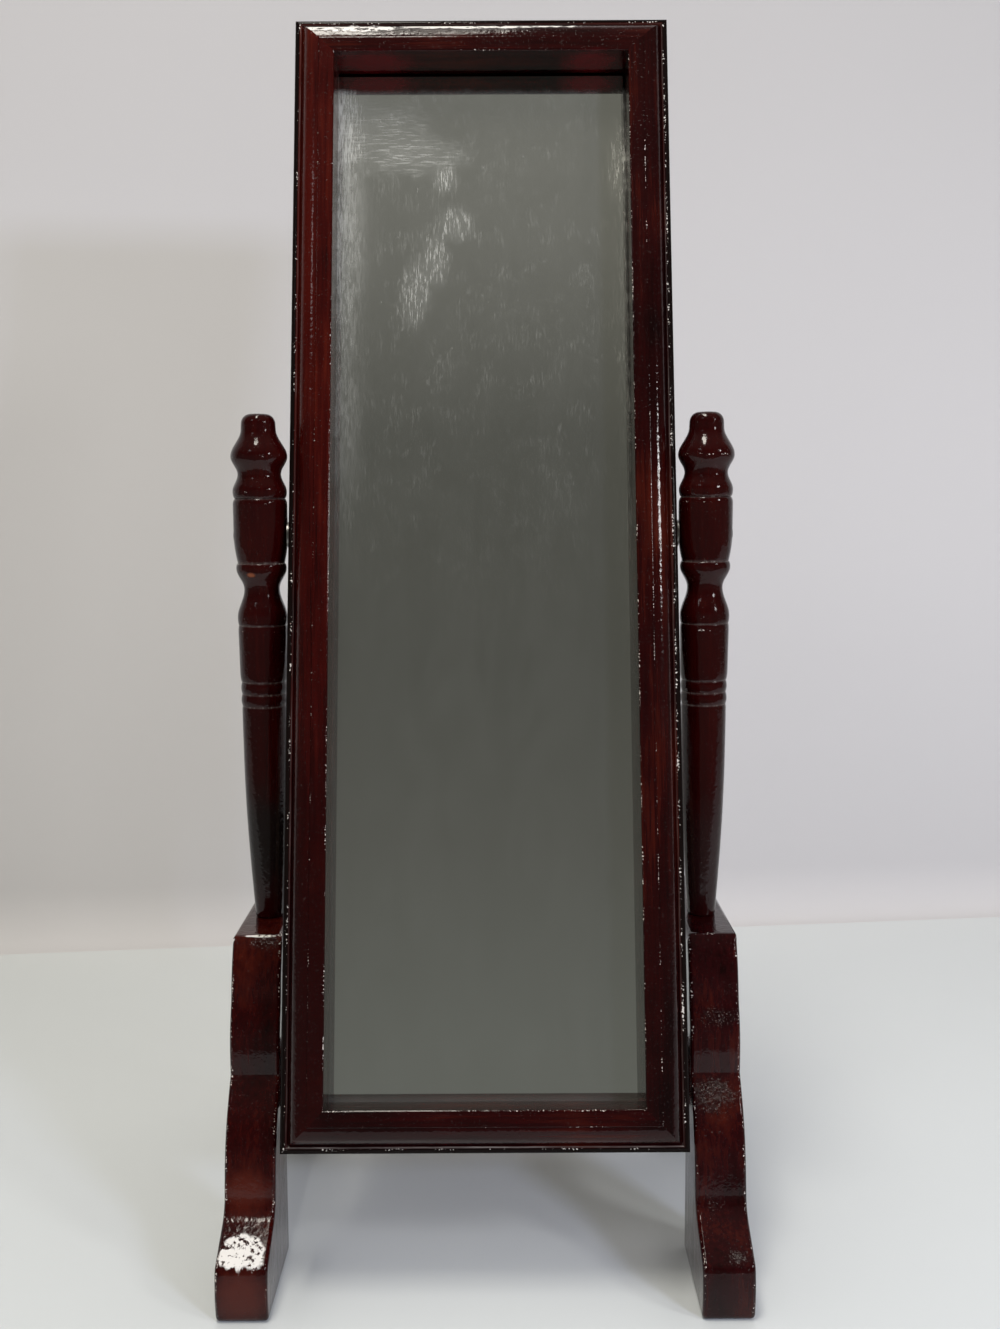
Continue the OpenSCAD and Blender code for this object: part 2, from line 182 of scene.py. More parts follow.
class Bench:
    """The modelling steps that all pieces share, each one an operator on the active object."""

    @staticmethod
    def clear_selection() -> None:
        """Deselects everything."""
        bpy.ops.object.select_all(action="DESELECT")

    @staticmethod
    def only(obj: bpy.types.Object) -> None:
        """Makes one object the selected and active one.

        Args:
            obj: The object.
        """
        Bench.clear_selection()
        obj.select_set(True)
        bpy.context.view_layer.objects.active = obj

    @staticmethod
    @contextmanager
    def editing(obj: bpy.types.Object) -> Iterator[None]:
        """Holds an object in edit mode, at first with its whole mesh selected.

        Args:
            obj: The object, which stays selected and active afterwards.

        Yields:
            Nothing, once the mesh can be edited.
        """
        Bench.only(obj)
        bpy.ops.object.mode_set(mode="EDIT")
        bpy.ops.mesh.select_all(action="SELECT")
        yield
        bpy.ops.object.mode_set(mode="OBJECT")

    @staticmethod
    def ring(name: str, places: Sequence[Vector], filled: bool = True) -> bpy.types.Object:
        """Adds a circle and moves its corners to the given places.

        Args:
            name: Name of the new object.
            places: One place for each corner, in order.
            filled: Whether the ring is closed by a face.

        Returns:
            The new object, at the origin.
        """
        Bench.clear_selection()
        fill = "NGON" if filled else "NOTHING"
        bpy.ops.mesh.primitive_circle_add(vertices=len(places), radius=0.1, fill_type=fill)
        obj = bpy.context.object
        obj.name = name
        obj.data.name = name
        for vertex, place in zip(obj.data.vertices, places):
            vertex.co = place
        return obj

    @staticmethod
    def line(name: str, places: Sequence[Vector]) -> bpy.types.Object:
        """Adds a circle and opens it between its last corner and its first.

        Args:
            name: Name of the new object.
            places: One place for each corner, in order.

        Returns:
            The new object, at the origin.
        """
        ends = (places[0], places[-1])

        def closes(a: Vector, b: Vector) -> bool:
            """Both ends of the edge are ends of the line."""
            return all(min((v - end).length for end in ends) < 1e-6 for v in (a, b))

        obj = Bench.ring(name, places, filled=False)
        with Bench.editing(obj):
            Bench.select_edges(obj, closes)
            bpy.ops.mesh.delete(type="EDGE")
        return obj

    @staticmethod
    def spun(
        name: str, places: Sequence[Vector], centre: Place, axis: Place, steps: int
    ) -> bpy.types.Object:
        """Spins a line whose two ends lie on the axis once round, into a closed turning.

        Args:
            name: Name of the new object.
            places: The line's corners, in order.
            centre: A place on the axis.
            axis: The axis's direction.
            steps: Number of facets round the axis.

        Returns:
            The new object, at the origin.
        """
        obj = Bench.line(name, places)
        with Bench.editing(obj):
            bpy.ops.mesh.spin(steps=steps, angle=math.tau, center=centre, axis=axis)
            bpy.ops.mesh.select_all(action="SELECT")
            bpy.ops.mesh.remove_doubles(threshold=1e-6)
            bpy.ops.mesh.normals_make_consistent(inside=False)
        return obj

    @staticmethod
    def select_edges(obj: bpy.types.Object, wanted: EdgeTest) -> int:
        """Selects the edges whose two ends pass a test.

        Args:
            obj: The object, in edit mode.
            wanted: Test on the places of an edge's two ends.

        Returns:
            The number of edges selected.
        """
        bpy.ops.mesh.select_mode(type="EDGE")
        bpy.ops.mesh.select_all(action="DESELECT")
        mesh = bmesh.from_edit_mesh(obj.data)
        count = 0
        for edge in mesh.edges:
            if wanted(edge.verts[0].co, edge.verts[1].co):
                edge.select_set(True)
                count += 1
        bmesh.update_edit_mesh(obj.data)
        return count

    @staticmethod
    def extrude(obj: bpy.types.Object, way: Vector) -> None:
        """Extrudes the whole ring.

        Args:
            obj: The ring.
            way: How far and where to, in metres.
        """
        with Bench.editing(obj):
            bpy.ops.mesh.extrude_region_move(TRANSFORM_OT_translate={"value": way})

    @staticmethod
    def outward(obj: bpy.types.Object) -> None:
        """Makes all faces of an object point outwards."""
        with Bench.editing(obj):
            bpy.ops.mesh.normals_make_consistent(inside=False)

    @staticmethod
    def bevel(obj: bpy.types.Object, wanted: EdgeTest, width: float, steps: int) -> None:
        """Rounds the edges whose two ends pass a test.

        Args:
            obj: The object to work on.
            wanted: Test on the places of an edge's two ends.
            width: Offset of the bevel, in metres.
            steps: Segments across the rounding.
        """
        with Bench.editing(obj):
            if Bench.select_edges(obj, wanted):
                bpy.ops.mesh.bevel(offset=width, segments=steps, profile=0.5, clamp_overlap=False)

    @staticmethod
    def cut(obj: bpy.types.Object, cutter: bpy.types.Object) -> None:
        """Takes one object's shape out of another.

        Args:
            obj: The object to cut.
            cutter: The shape to take out, which is removed afterwards.
        """
        Bench.only(obj)
        cut = obj.modifiers.new("cut", "BOOLEAN")
        cut.operation = "DIFFERENCE"
        cut.solver = "EXACT"
        cut.object = cutter
        bpy.ops.object.modifier_apply(modifier=cut.name)
        bpy.data.objects.remove(cutter, do_unlink=True)

    @staticmethod
    def smooth(obj: bpy.types.Object, angle: float = 32.0) -> None:
        """Shades smoothly across gentle edges, and keeps wide faces flat.

        Args:
            obj: The object to shade.
            angle: The sharpest edge that is smoothed, in degrees.
        """
        Bench.only(obj)
        bpy.ops.object.shade_smooth_by_angle(angle=math.radians(angle))
        weigh = obj.modifiers.new("weigh", "WEIGHTED_NORMAL")
        weigh.keep_sharp = True
        bpy.ops.object.modifier_apply(modifier=weigh.name)

    @staticmethod
    def paint(obj: bpy.types.Object, layer_name: str, amount: Callable[[Vector], float]) -> None:
        """Stores an amount on each corner, such as how worn or how dusty it is.

        Args:
            obj: The object to paint.
            layer_name: The name under which the finish reads the amount.
            amount: The amount at a place.
        """
        layer = obj.data.attributes.new(layer_name, "FLOAT", "POINT")
        layer.data.foreach_set("value", [amount(vertex.co) for vertex in obj.data.vertices])

    @staticmethod
    def hand_over(
        obj: bpy.types.Object, node: str, body: str, material: bpy.types.Material
    ) -> bpy.types.Object:
        """Gives a finished wooden piece its material and its body, and hides the CAD node that it
        stands for.

        Args:
            obj: The finished piece.
            node: The CAD node that it replaces.
            body: The body that it rides on.
            material: Its finish.

        Returns:
            The piece.
        """
        obj.data.materials.clear()
        obj.data.materials.append(material)
        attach(obj, body)
        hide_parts(node)
        LOG.info("%s: %d faces, rides on %s, for %s", obj.name, len(obj.data.polygons), body, node)
        return obj


def dress(material: bpy.types.Material, *nodes: str) -> None:
    """Gives CAD nodes that stay in view their finish.

    Args:
        material: The finish.
        *nodes: The nodes' names.
    """
    for node in nodes:
        obj = frame["nodes"][node]
        obj.data.materials.clear()
        obj.data.materials.append(material)
        LOG.info("%s: CAD node, finish %s", node, material.name)


# Shader maths


class Link:
    """A shader output that can stand in a sum."""

    def __init__(self, graph: "Graph", socket: bpy.types.NodeSocket) -> None:
        """Keeps the graph and the output."""
        self.graph = graph
        self.socket = socket

    def _math(self, operation: str, *values: Any) -> "Link":
        """Adds a Math node on plain values."""
        return self.graph.node("ShaderNodeMath", {"operation": operation}, dict(enumerate(values)))

    def __add__(self, other: Any) -> "Link":
        """Sum."""
        return self._math("ADD", self, other)

    __radd__ = __add__

    def __sub__(self, other: Any) -> "Link":
        """Difference."""
        return self._math("SUBTRACT", self, other)

    def __rsub__(self, other: Any) -> "Link":
        """Difference from a number."""
        return self._math("SUBTRACT", other, self)

    def __mul__(self, other: Any) -> "Link":
        """Product."""
        return self._math("MULTIPLY", self, other)

    __rmul__ = __mul__

    def at_most(self, other: Any) -> "Link":
        """The lesser of the two."""
        return self._math("MINIMUM", self, other)

    def at_least(self, other: Any) -> "Link":
        """The greater of the two."""
        return self._math("MAXIMUM", self, other)


class Graph:
    """A material's or a world's nodes."""

    def __init__(self, tree: bpy.types.NodeTree) -> None:
        """Starts with no nodes."""
        self.tree = tree
        tree.nodes.clear()

    def node(
        self,
        kind: str,
        settings: dict[str, Any] | None = None,
        inputs: dict[Any, Any] | None = None,
        output: Any = 0,
    ) -> Link:
        """Adds a node.

        Args:
            kind: The node's type.
            settings: Its settings, which are set first; "stops" are a ramp's places and colours.
            inputs: Values or links of its sockets, by name or number.
            output: The output to hand back, by name or number.

        Returns:
            The chosen output.
        """
        made = self.tree.nodes.new(kind)
        for key, value in (settings or {}).items():
            if key == "stops":
                ramp = made.color_ramp
                while len(ramp.elements) < len(value):
                    ramp.elements.new(1.0)
                for stop, (place, colour) in zip(ramp.elements, value):
                    stop.position = place
                    stop.color = (*colour, 1.0)
            else:
                setattr(made, key, value)
        for key, value in (inputs or {}).items():
            socket = made.inputs[key]
            if isinstance(value, Link):
                self.tree.links.new(value.socket, socket)
            elif isinstance(value, tuple) and len(value) == 3 and socket.type == "RGBA":
                socket.default_value = (*value, 1.0)
            else:
                socket.default_value = value
        if not made.outputs:
            return Link(self, made.inputs[0])
        return Link(self, made.outputs[output])

    def places(self) -> Link:
        """Object coordinates, in metres."""
        return self.node("ShaderNodeTexCoord", output="Object")

    def stretched(self, vector: Link, scale: Sequence[float]) -> Link:
        """Coordinates scaled along each axis."""
        inputs = {"Vector": vector, "Scale": tuple(scale)}
        return self.node("ShaderNodeMapping", {"vector_type": "POINT"}, inputs)

    def hung(self, vector: Link) -> Link:
        """Gives coordinates in the leaning frame's own plane, from its pivot axis.

        Args:
            vector: Object coordinates.

        Returns:
            The turned coordinates.
        """
        turn = Matrix.Rotation(LEAN, 3, "X")
        inputs = {"Vector": vector, "Rotation": (LEAN, 0, 0), "Location": tuple(-(turn @ PIVOT))}
        return self.node("ShaderNodeMapping", {"vector_type": "POINT"}, inputs)

    def noise(
        self, vector: Link, scale: float, detail: float = 2.0, rough: float = 0.5, bend: float = 0.0
    ) -> Link:
        """Gives noise from 0 to 1.

        Args:
            vector: Coordinates, in metres.
            scale: Features per metre.
            detail: Octaves of finer noise.
            rough: Weight of the finer noise.
            bend: Distortion.

        Returns:
            The noise.
        """
        inputs = {
            "Vector": vector,
            "Scale": scale,
            "Detail": detail,
            "Roughness": rough,
            "Distortion": bend,
        }
        return self.node("ShaderNodeTexNoise", {"noise_dimensions": "3D"}, inputs)

    def step(self, value: Link, low: float, high: float) -> Link:
        """Goes softly from 0 to 1.

        Args:
            value: The value to judge.
            low: The value that gives 0.
            high: The value that gives 1.

        Returns:
            The share, held between 0 and 1.
        """
        settings = {"interpolation_type": "SMOOTHSTEP", "clamp": True}
        inputs = {"Value": value, "From Min": low, "From Max": high}
        return self.node("ShaderNodeMapRange", settings, inputs)

    def mix(self, share: Link | float, a: Any, b: Any) -> Link:
        """Mixes two colours."""
        settings = {"data_type": "RGBA", "clamp_factor": True}
        return self.node("ShaderNodeMix", settings, {0: share, 6: a, 7: b}, output=2)

    def ramp(self, value: Link, *stops: tuple[float, Colour]) -> Link:
        """The colour that a ramp gives for a value."""
        return self.node("ShaderNodeValToRGB", {"stops": stops}, {0: value})

    def painted(self, layer_name: str) -> Link:
        """The amount that is painted on the mesh under a name."""
        return self.node("ShaderNodeAttribute", {"attribute_name": layer_name}, output="Fac")

    def parts(self, vector: Link) -> tuple[Link, Link, Link]:
        """The X, Y and Z of a vector."""
        outputs = self.node("ShaderNodeSeparateXYZ", inputs={"Vector": vector}).socket.node.outputs
        return Link(self, outputs[0]), Link(self, outputs[1]), Link(self, outputs[2])

    def near(self, vector: Link, centre: Sequence[float], reach: float) -> Link:
        """Goes from 1 at a place to 0 at a distance from it.

        Args:
            vector: Coordinates.
            centre: The place.
            reach: The distance at which nothing is left.

        Returns:
            The share.
        """
        inputs = {0: vector, 1: tuple(centre)}
        away = self.node("ShaderNodeVectorMath", {"operation": "DISTANCE"}, inputs, output="Value")
        return 1 - self.step(away, 0.0, reach)

    def bump(self, height: Link, depth: float) -> Link:
        """A surface normal from a height from 0 to 1, depth in metres."""
        inputs = {"Height": height, "Distance": depth, "Strength": 1.0}
        return self.node("ShaderNodeBump", inputs=inputs)

    def principled(self, inputs: dict[str, Any]) -> Link:
        """A Principled shader."""
        return self.node("ShaderNodeBsdfPrincipled", inputs=inputs)

    def blend(self, share: Link, first: Link, second: Link) -> Link:
        """Mixes two shaders, by the share of the second."""
        return self.node("ShaderNodeMixShader", inputs={0: share, 1: first, 2: second})

    def surface(self, shader: Link) -> None:
        """Ends the nodes in a material output."""
        self.node("ShaderNodeOutputMaterial", inputs={"Surface": shader})


def new_material(name: str) -> tuple[bpy.types.Material, Graph]:
    """Starts a material.

    Args:
        name: Name of the material.

    Returns:
        The material and its graph.
    """
    material = bpy.data.materials.new(name)
    material.use_nodes = True
    return material, Graph(material.node_tree)


# Finishes


@dataclass(frozen=True)
class Patch:
    """A place where a finish has a look of its own.

    Attributes:
        centre: Its middle, in metres.
        reach: Its half width along each axis, in metres.
        colour: Its tone, where it has one.
    """

    centre: Place
    reach: Place
    colour: Colour = (0.0, 0.0, 0.0)

    @classmethod
    def on_glass(cls, x: float, z: float, wide: float, high: float) -> "Patch":
        """A patch on the face of the mirror glass, from the pivot axis."""
        return cls((x, 0.0044, z), (wide, 0.1, high))

    def share(self, g: Graph, spot: Link) -> Link:
        """Goes from 1 in its middle to 0 at its rim."""
        scale = [1 / r for r in self.reach]
        return g.near(g.stretched(spot, scale), [c * k for c, k in zip(self.centre, scale)], 1.0)


@dataclass(frozen=True)
class Lacquer:
    """Mahogany under thick, brushed, high-gloss lacquer.

    Attributes:
        name: Name of the material.
        grain: The axis that grain and brush marks run along.
        leans: Whether the piece lies in the leaning frame's plane.
        dark: Colour of the darkest wood.
        red: Colour of the plain wood.
        glow: Colour where the light gets through the lacquer.
        chip_and_glint_level: How readily the arrises show chips and painted glints.
        painted_highlights: Places with painted highlights: ragged white patches that stand in for
            the reflection of the lamps.
        wrinkles: Places where it has wrinkled; these are also painted darker and carry painted
            glints.
        stains_and_painted_light: Places with a tone of their own: real stains, and painted glows,
            shade and reflections.
        grit_and_sparkle: Colour of the pale specks: grit that dried in the lacquer, and painted
            sparkle where nibs catch the light.
        chip_and_glint: Colour of the primer in a chip; the same pale colour paints the glints along
            the arrises and in the wrinkles.
        highlight_white: Colour of the painted highlights.
        dust: Colour of the dust in hollows, and of the painted highlight line on the frame's bead.
        edge_shade: Colour of the painted shade on the outer half of the bead.
        edge_shade_film: Colour of the matt film there, which hides the gloss to paint that shade.
        slack: Scale of grain and brush marks along the grain; the less, the longer they are.
        relief_depth: Height of the lacquer's unevenness, in metres.
    """

    name: str
    grain: Grain
    leans: bool = False
    dark: Colour = (0.0050, 0.0003, 0.0005)
    red: Colour = (0.0200, 0.0010, 0.0011)
    glow: Colour = (0.0620, 0.0075, 0.0030)
    chip_and_glint_level: float = 0.0
    painted_highlights: tuple[Patch, ...] = ()
    wrinkles: tuple[Patch, ...] = ()
    stains_and_painted_light: tuple[Patch, ...] = ()
    grit_and_sparkle: Colour = (0.42, 0.36, 0.32)
    chip_and_glint: Colour = (0.74, 0.68, 0.62)
    highlight_white: Colour = (0.74, 0.71, 0.67)
    dust: Colour = (0.46, 0.42, 0.38)
    edge_shade: Colour = (0.0030, 0.0016, 0.0014)
    edge_shade_film: Colour = (0.0060, 0.0035, 0.0030)
    slack: float = 0.045
    relief_depth: float = 0.0006

    def drawn_out(self, g: Graph, spot: Link, along: float, across: float = 1.0) -> Link:
        """Gives coordinates for a pattern that is longer along the grain.

        Args:
            g: The material's graph.
            spot: Coordinates on the piece.
            along: Scale along the grain.
            across: Scale across the grain.

        Returns:
            The scaled coordinates.
        """
        scale = [across] * 3
        scale[self.grain.value] = along
        return g.stretched(spot, scale)

    @staticmethod
    def all_of(
        g: Graph, patches: Sequence[Patch], uneven: Link, low: float, high: float
    ) -> Link | None:
        """Finds where any of the patches is, with an uneven rim.

        Args:
            g: The material's graph.
            patches: The patches.
            uneven: Noise that breaks up their rims.
            low: Share of a patch that counts as 0.
            high: Share of a patch that counts as 1.

        Returns:
            A share from 0 to 1, or None if there is no patch.
        """
        total: Link | None = None
        for patch in patches:
            share = g.step(patch.share(g, g.places()) + uneven * 0.9, low, high)
            total = share if total is None else total.at_least(share)
        return total

    def wood(self, g: Graph, spot: Link, uneven: Link) -> Link:
        """Paints the stained wood under the lacquer, with patches of painted light and shade on it.

        Args:
            g: The material's graph.
            spot: Coordinates on the piece.
            uneven: Noise that breaks up the stains' rims.

        Returns:
            The colour.
        """
        fibres = g.noise(self.drawn_out(g, spot, self.slack), 520.0, 5.0, 0.62, 0.25)
        bands = g.noise(self.drawn_out(g, spot, self.slack, 0.5), 130.0, 3.0, 0.5, 0.6)
        clouds = g.noise(spot, 16.0, 3.0, 0.55)
        tone = fibres * 0.40 + bands * 0.35 + clouds * 0.50
        colour = g.ramp(tone, (0.46, self.dark), (0.64, self.red), (0.90, self.glow))
        # Patches of tone: real stains, painted glows, painted shade and painted reflections
        for stain in self.stains_and_painted_light:
            share = g.step(stain.share(g, g.places()) + uneven * 0.5, 0.32, 1.15)
            colour = g.mix(share, colour, stain.colour)
        return colour

    def relief(self, g: Graph, spot: Link, creased: Link | None) -> Link:
        """Raises brush marks, orange peel, wrinkles and grit that dried in the lacquer.

        Args:
            g: The material's graph.
            spot: Coordinates on the piece.
            creased: Where the lacquer has wrinkled, if it has.

        Returns:
            The surface normal.
        """
        brushed = g.noise(self.drawn_out(g, spot, self.slack), 240.0, 2.0, 0.5)
        wavy = g.noise(spot, 70.0, 2.0, 0.5)
        peel = g.noise(spot, 420.0, 2.0, 0.55)
        nibs = g.step(g.noise(spot, 1100.0, 1.0, 0.5), 0.68, 0.76)
        height = brushed * 0.20 + wavy * 0.40 + peel * 0.22 + nibs * 0.16
        if creased:
            height = height + creased * (g.noise(spot, 460.0, 3.0, 0.65) - 0.5) * 1.3
        return g.bump(height, self.relief_depth)

    def build(self) -> bpy.types.Material:
        """Builds the material.

        Returns:
            The finished material.
        """
        material, g = new_material(self.name)
        spot = g.places()
        if self.leans:
            spot = g.hung(spot)
        uneven = g.noise(spot, 150.0, 3.0, 0.6)
        colour = self.wood(g, spot, uneven)
        # Chips and painted glints as dots along the arrises, painted highlights, and a few nibs on
        # the faces
        crumbs = g.noise(spot, 1250.0, 2.0, 0.5)
        rubbed = g.noise(spot, 75.0, 2.0, 0.5)
        # Pale dots along the worn arrises: real chips, and painted glints where the lamps catch the
        # arrises
        chips_and_glints = g.step(crumbs + rubbed * 0.6 + g.painted("wear") * 0.28 + self.chip_and_glint_level, 1.24, 1.27)
        # Pale specks: grit in the lacquer, and painted sparkle of the nibs catching the light
        specks = g.step(g.noise(spot, 1500.0, 1.0, 0.5), 0.80, 0.83)
        highlighted = self.all_of(g, self.painted_highlights, uneven, 0.72, 0.90)
        creased = self.all_of(g, self.wrinkles, uneven, 0.45, 1.15)
        if creased:
            # The wrinkled patches are painted darker
            colour = g.mix(creased * 0.5, colour, self.dark)
            # Painted glints: pale specks in the wrinkled patches, in the chips' colour
            glints = g.step(g.noise(spot, 1300.0, 2.0, 0.6), 0.62, 0.68)
            chips_and_glints = chips_and_glints.at_least(creased * glints * 0.15)
        colour = g.mix(specks * 0.35, colour, self.grit_and_sparkle)
        colour = g.mix(chips_and_glints * 0.85, colour, self.chip_and_glint)
        # Painted highlights: ragged white patches for the lamps' reflection, made rough so that the
        # real gloss there is dulled
        if highlighted:
            ragged = g.noise(self.drawn_out(g, spot, 0.4), 420.0, 5.0, 0.68)
            highlighted = highlighted * g.step(ragged, 0.43, 0.47)
            colour = g.mix(highlighted, colour, self.highlight_white)
            chips_and_glints = chips_and_glints.at_least(highlighted)
        # Painted shade on the outer half of the bead: a near-black colour here, and a matt film
        # below that hides its reflections
        shaded = g.painted("shade")
        colour = g.mix(shaded * (1 - chips_and_glints), colour, self.edge_shade)
        # The dust layer also holds the painted highlight line along the bead of the frame
        settled = g.painted("dust")
        lint = g.step(g.noise(self.drawn_out(g, spot, self.slack), 700.0, 4.0, 0.7), 0.45, 0.80)
        colour = g.mix(settled * (0.02 + lint * 0.14), colour, self.dust)
        smears = g.step(g.noise(spot, 34.0, 4.0, 0.6), 0.42, 0.72)
        gloss = g.principled(
            {
                "Base Color": colour,
                "Roughness": 0.07 + smears * 0.07 + chips_and_glints * 0.40 + settled * 0.08,
                "IOR": 1.35,
                "Normal": self.relief(g, spot, creased),
            }
        )
        # The matt film of the painted shade
        film = g.node("ShaderNodeBsdfDiffuse", inputs={"Color": self.edge_shade_film})
        g.surface(g.blend(shaded * (1 - chips_and_glints) * 0.75, gloss, film))
        return material


@dataclass(frozen=True)
class DustyMirror:
    """Silvered glass with dust along its edges and the strokes that a cloth has left.

    Attributes:
        silver: Colour of the mirror.
        dust: Colour of the dust.
        gap: Colour of the painted dark line along the upper and the right edge: painted shade where
            the rebate's shadow shows behind the glass.
        half_width: Half the width of the glass in view, in metres.
        upper: Height of the upper edge in view above the pivot axis, in metres.
        lower: Height of the lower edge in view above the pivot axis, in metres.
        bundles: Places with bundles of upright strokes.
        level_strokes: Places with level strokes.
    """

    silver: Colour = (0.86, 0.88, 0.84)
    dust: Colour = (0.51, 0.51, 0.465)
    gap: Colour = (0.010, 0.006, 0.006)
    half_width: float = 73.8 * MM
    upper: float = 243.8 * MM
    lower: float = -271.8 * MM
    bundles: tuple[Patch, ...] = (
        Patch.on_glass(-0.0140, 0.1620, 0.0170, 0.0170),
        Patch.on_glass(-0.0240, 0.1420, 0.0130, 0.0260),
        Patch.on_glass(-0.0340, 0.1240, 0.0140, 0.0300),
        Patch.on_glass(-0.0190, 0.1860, 0.0120, 0.0110),
        Patch.on_glass(-0.0690, 0.2120, 0.0150, 0.0280),
        Patch.on_glass(0.0700, 0.1930, 0.0100, 0.0340),
    )
    level_strokes: tuple[Patch, ...] = (
        Patch.on_glass(-0.0500, 0.2100, 0.0420, 0.0320),
        Patch.on_glass(-0.0300, 0.1980, 0.0400, 0.0180),
    )

    def haze(self, g: Graph, spot: Link, smears: Link) -> Link:
        """Lays the dust: a film, the cloth's strokes, and what gathers along the edges.

        Args:
            g: The material's graph.
            spot: Coordinates in the glass's own plane.
            smears: Soft smears over the whole glass.

        Returns:
            How much dust hides the silver, from 0 to 0.9.
        """
        x, _, z = g.parts(spot)
        haze = g.step(z, -0.02, self.upper) * 0.072 + smears * 0.05 + 0.02
        # Hair strokes of the cloth: upright ones in bundles, level ones in the corner
        upright = g.noise(g.stretched(spot, (1.0, 1.0, 0.11)), 1700.0, 3.0, 0.65, 0.15)
        level = g.noise(g.stretched(spot, (0.10, 1.0, 1.0)), 1300.0, 2.0, 0.6, 0.15)
        uneven = g.noise(spot, 110.0, 3.0, 0.6)
        sets = ((self.bundles, upright, 0.56), (self.level_strokes, level, 0.24))
        for patches, strokes, weight in sets:
            for patch in patches:
                middle = patch.share(g, spot)
                share = middle * g.step(middle + uneven * 0.9, 0.42, 1.10)
                haze = haze + share * (g.step(strokes, 0.50, 0.68) * weight + 0.09)
        wisps = g.step(uneven, 0.44, 0.66) * g.step(upright, 0.50, 0.66) * g.step(z, -0.10, 0.12)
        haze = haze + wisps * 0.12
        # A film down the left edge, lint down the right one, and a line along the lower one
        cloudy = g.noise(g.stretched(spot, (1.0, 1.0, 0.3)), 60.0, 3.0, 0.6)
        left = 1 - g.step(x + self.half_width, 0.0, 0.024)
        streaks = g.step(upright + cloudy * 0.6, 0.60, 1.00) * 0.55 + 0.12
        film = left * left * g.step(z, -0.04, 0.20) * streaks
        right = g.step(x, self.half_width - 0.010, self.half_width)
        haze = haze + film + right * g.step(upright, 0.46, 0.66) * 0.22 * g.step(z, -0.16, 0.20)
        haze = haze + (1 - g.step(z, self.lower, self.lower + 0.004)) * 0.06
        grit = g.noise(g.stretched(spot, (1.0, 1.0, 0.5)), 1200.0, 2.0, 0.5)
        specks = g.step(grit, 0.74, 0.78) * g.step(z, 0.0, 0.12)
        # Painted shadow: no dust is shown on the glass under the top rail, which shades it
        rail_shadow = g.step(z + uneven * 0.004, self.upper - 0.010, self.upper - 0.006)
        return ((haze + specks * 0.35) * (1 - rail_shadow)).at_most(0.9)

    def build(self) -> bpy.types.Material:
        """Builds the material.

        Returns:
            The finished material.
        """
        material, g = new_material("dusty_mirror")
        spot = g.hung(g.places())
        x, _, z = g.parts(spot)
        smears = g.noise(g.stretched(spot, (1.0, 1.0, 0.35)), 55.0, 4.0, 0.6, 1.2)
        # The silver lies behind the glass, so the rebate's shadow shows along the upper and the
        # right edge; a dark colour paints that shade
        above = g.step(z, self.upper - 0.0019, self.upper - 0.0016)
        beside = g.step(x, self.half_width - 0.0010, self.half_width - 0.0007)
        gap = above.at_least(beside * g.step(z, -0.02, 0.10))
        silver = g.principled(
            {
                "Base Color": g.mix(gap, self.silver, self.gap),
                "Metallic": 1.0,
                "Roughness": 0.03 + smears * 0.03,
            }
        )
        dust = g.principled({"Base Color": self.dust, "Roughness": 0.8})
        g.surface(g.blend(self.haze(g, spot, smears), silver, dust))
        return material


@dataclass(frozen=True)
class Hardboard:
    """Brown pressed board with a fine felt of fibres."""

    pale: Colour = (0.25, 0.155, 0.085)
    deep: Colour = (0.13, 0.075, 0.040)

    def build(self) -> bpy.types.Material:
        """Builds the material.

        Returns:
            The finished material.
        """
        material, g = new_material("hardboard")
        spot = g.hung(g.places())
        felt = g.noise(spot, 900.0, 4.0, 0.7)
        clouds = g.noise(spot, 14.0, 3.0, 0.5)
        colour = g.ramp(felt * 0.5 + clouds * 0.5, (0.3, self.deep), (0.7, self.pale))
        rough = 0.62 + felt * 0.25
        normal = g.bump(felt, 0.0001)
        g.surface(g.principled({"Base Color": colour, "Roughness": rough, "Normal": normal}))
        return material


@dataclass(frozen=True)
class Beech:
    """Plain beech with its short flecks."""

    pale: Colour = (0.56, 0.38, 0.23)
    deep: Colour = (0.40, 0.25, 0.14)

    def build(self) -> bpy.types.Material:
        """Builds the material.

        Returns:
            The finished material.
        """
        material, g = new_material("beech_dowel")
        flecks = g.noise(g.stretched(g.places(), (0.08, 1.0, 1.0)), 900.0, 4.0, 0.6)
        colour = g.ramp(flecks, (0.35, self.deep), (0.65, self.pale))
        rough = 0.45 + flecks * 0.2
        normal = g.bump(flecks, 0.00005)
        g.surface(g.principled({"Base Color": colour, "Roughness": rough, "Normal": normal}))
        return material


@dataclass(frozen=True)
class Steel:
    """Turned steel, a little tarnished."""

    bright: Colour = (0.30, 0.29, 0.28)
    dull: Colour = (0.09, 0.075, 0.065)

    def build(self) -> bpy.types.Material:
        """Builds the material.

        Returns:
            The finished material.
        """
        material, g = new_material("worn_steel")
        spot = g.places()
        stain = g.step(g.noise(spot, 260.0, 4.0, 0.6), 0.45, 0.75)
        scratch = g.noise(g.stretched(spot, (0.2, 1.0, 1.0)), 2600.0, 2.0, 0.5)
        inputs = {
            "Base Color": g.mix(stain, self.bright, self.dull),
            "Metallic": 1.0,
            "Roughness": 0.24 + stain * 0.25 + scratch * 0.12,
            "Normal": g.bump(scratch, 0.00002),
        }
        g.surface(g.principled(inputs))
        return material


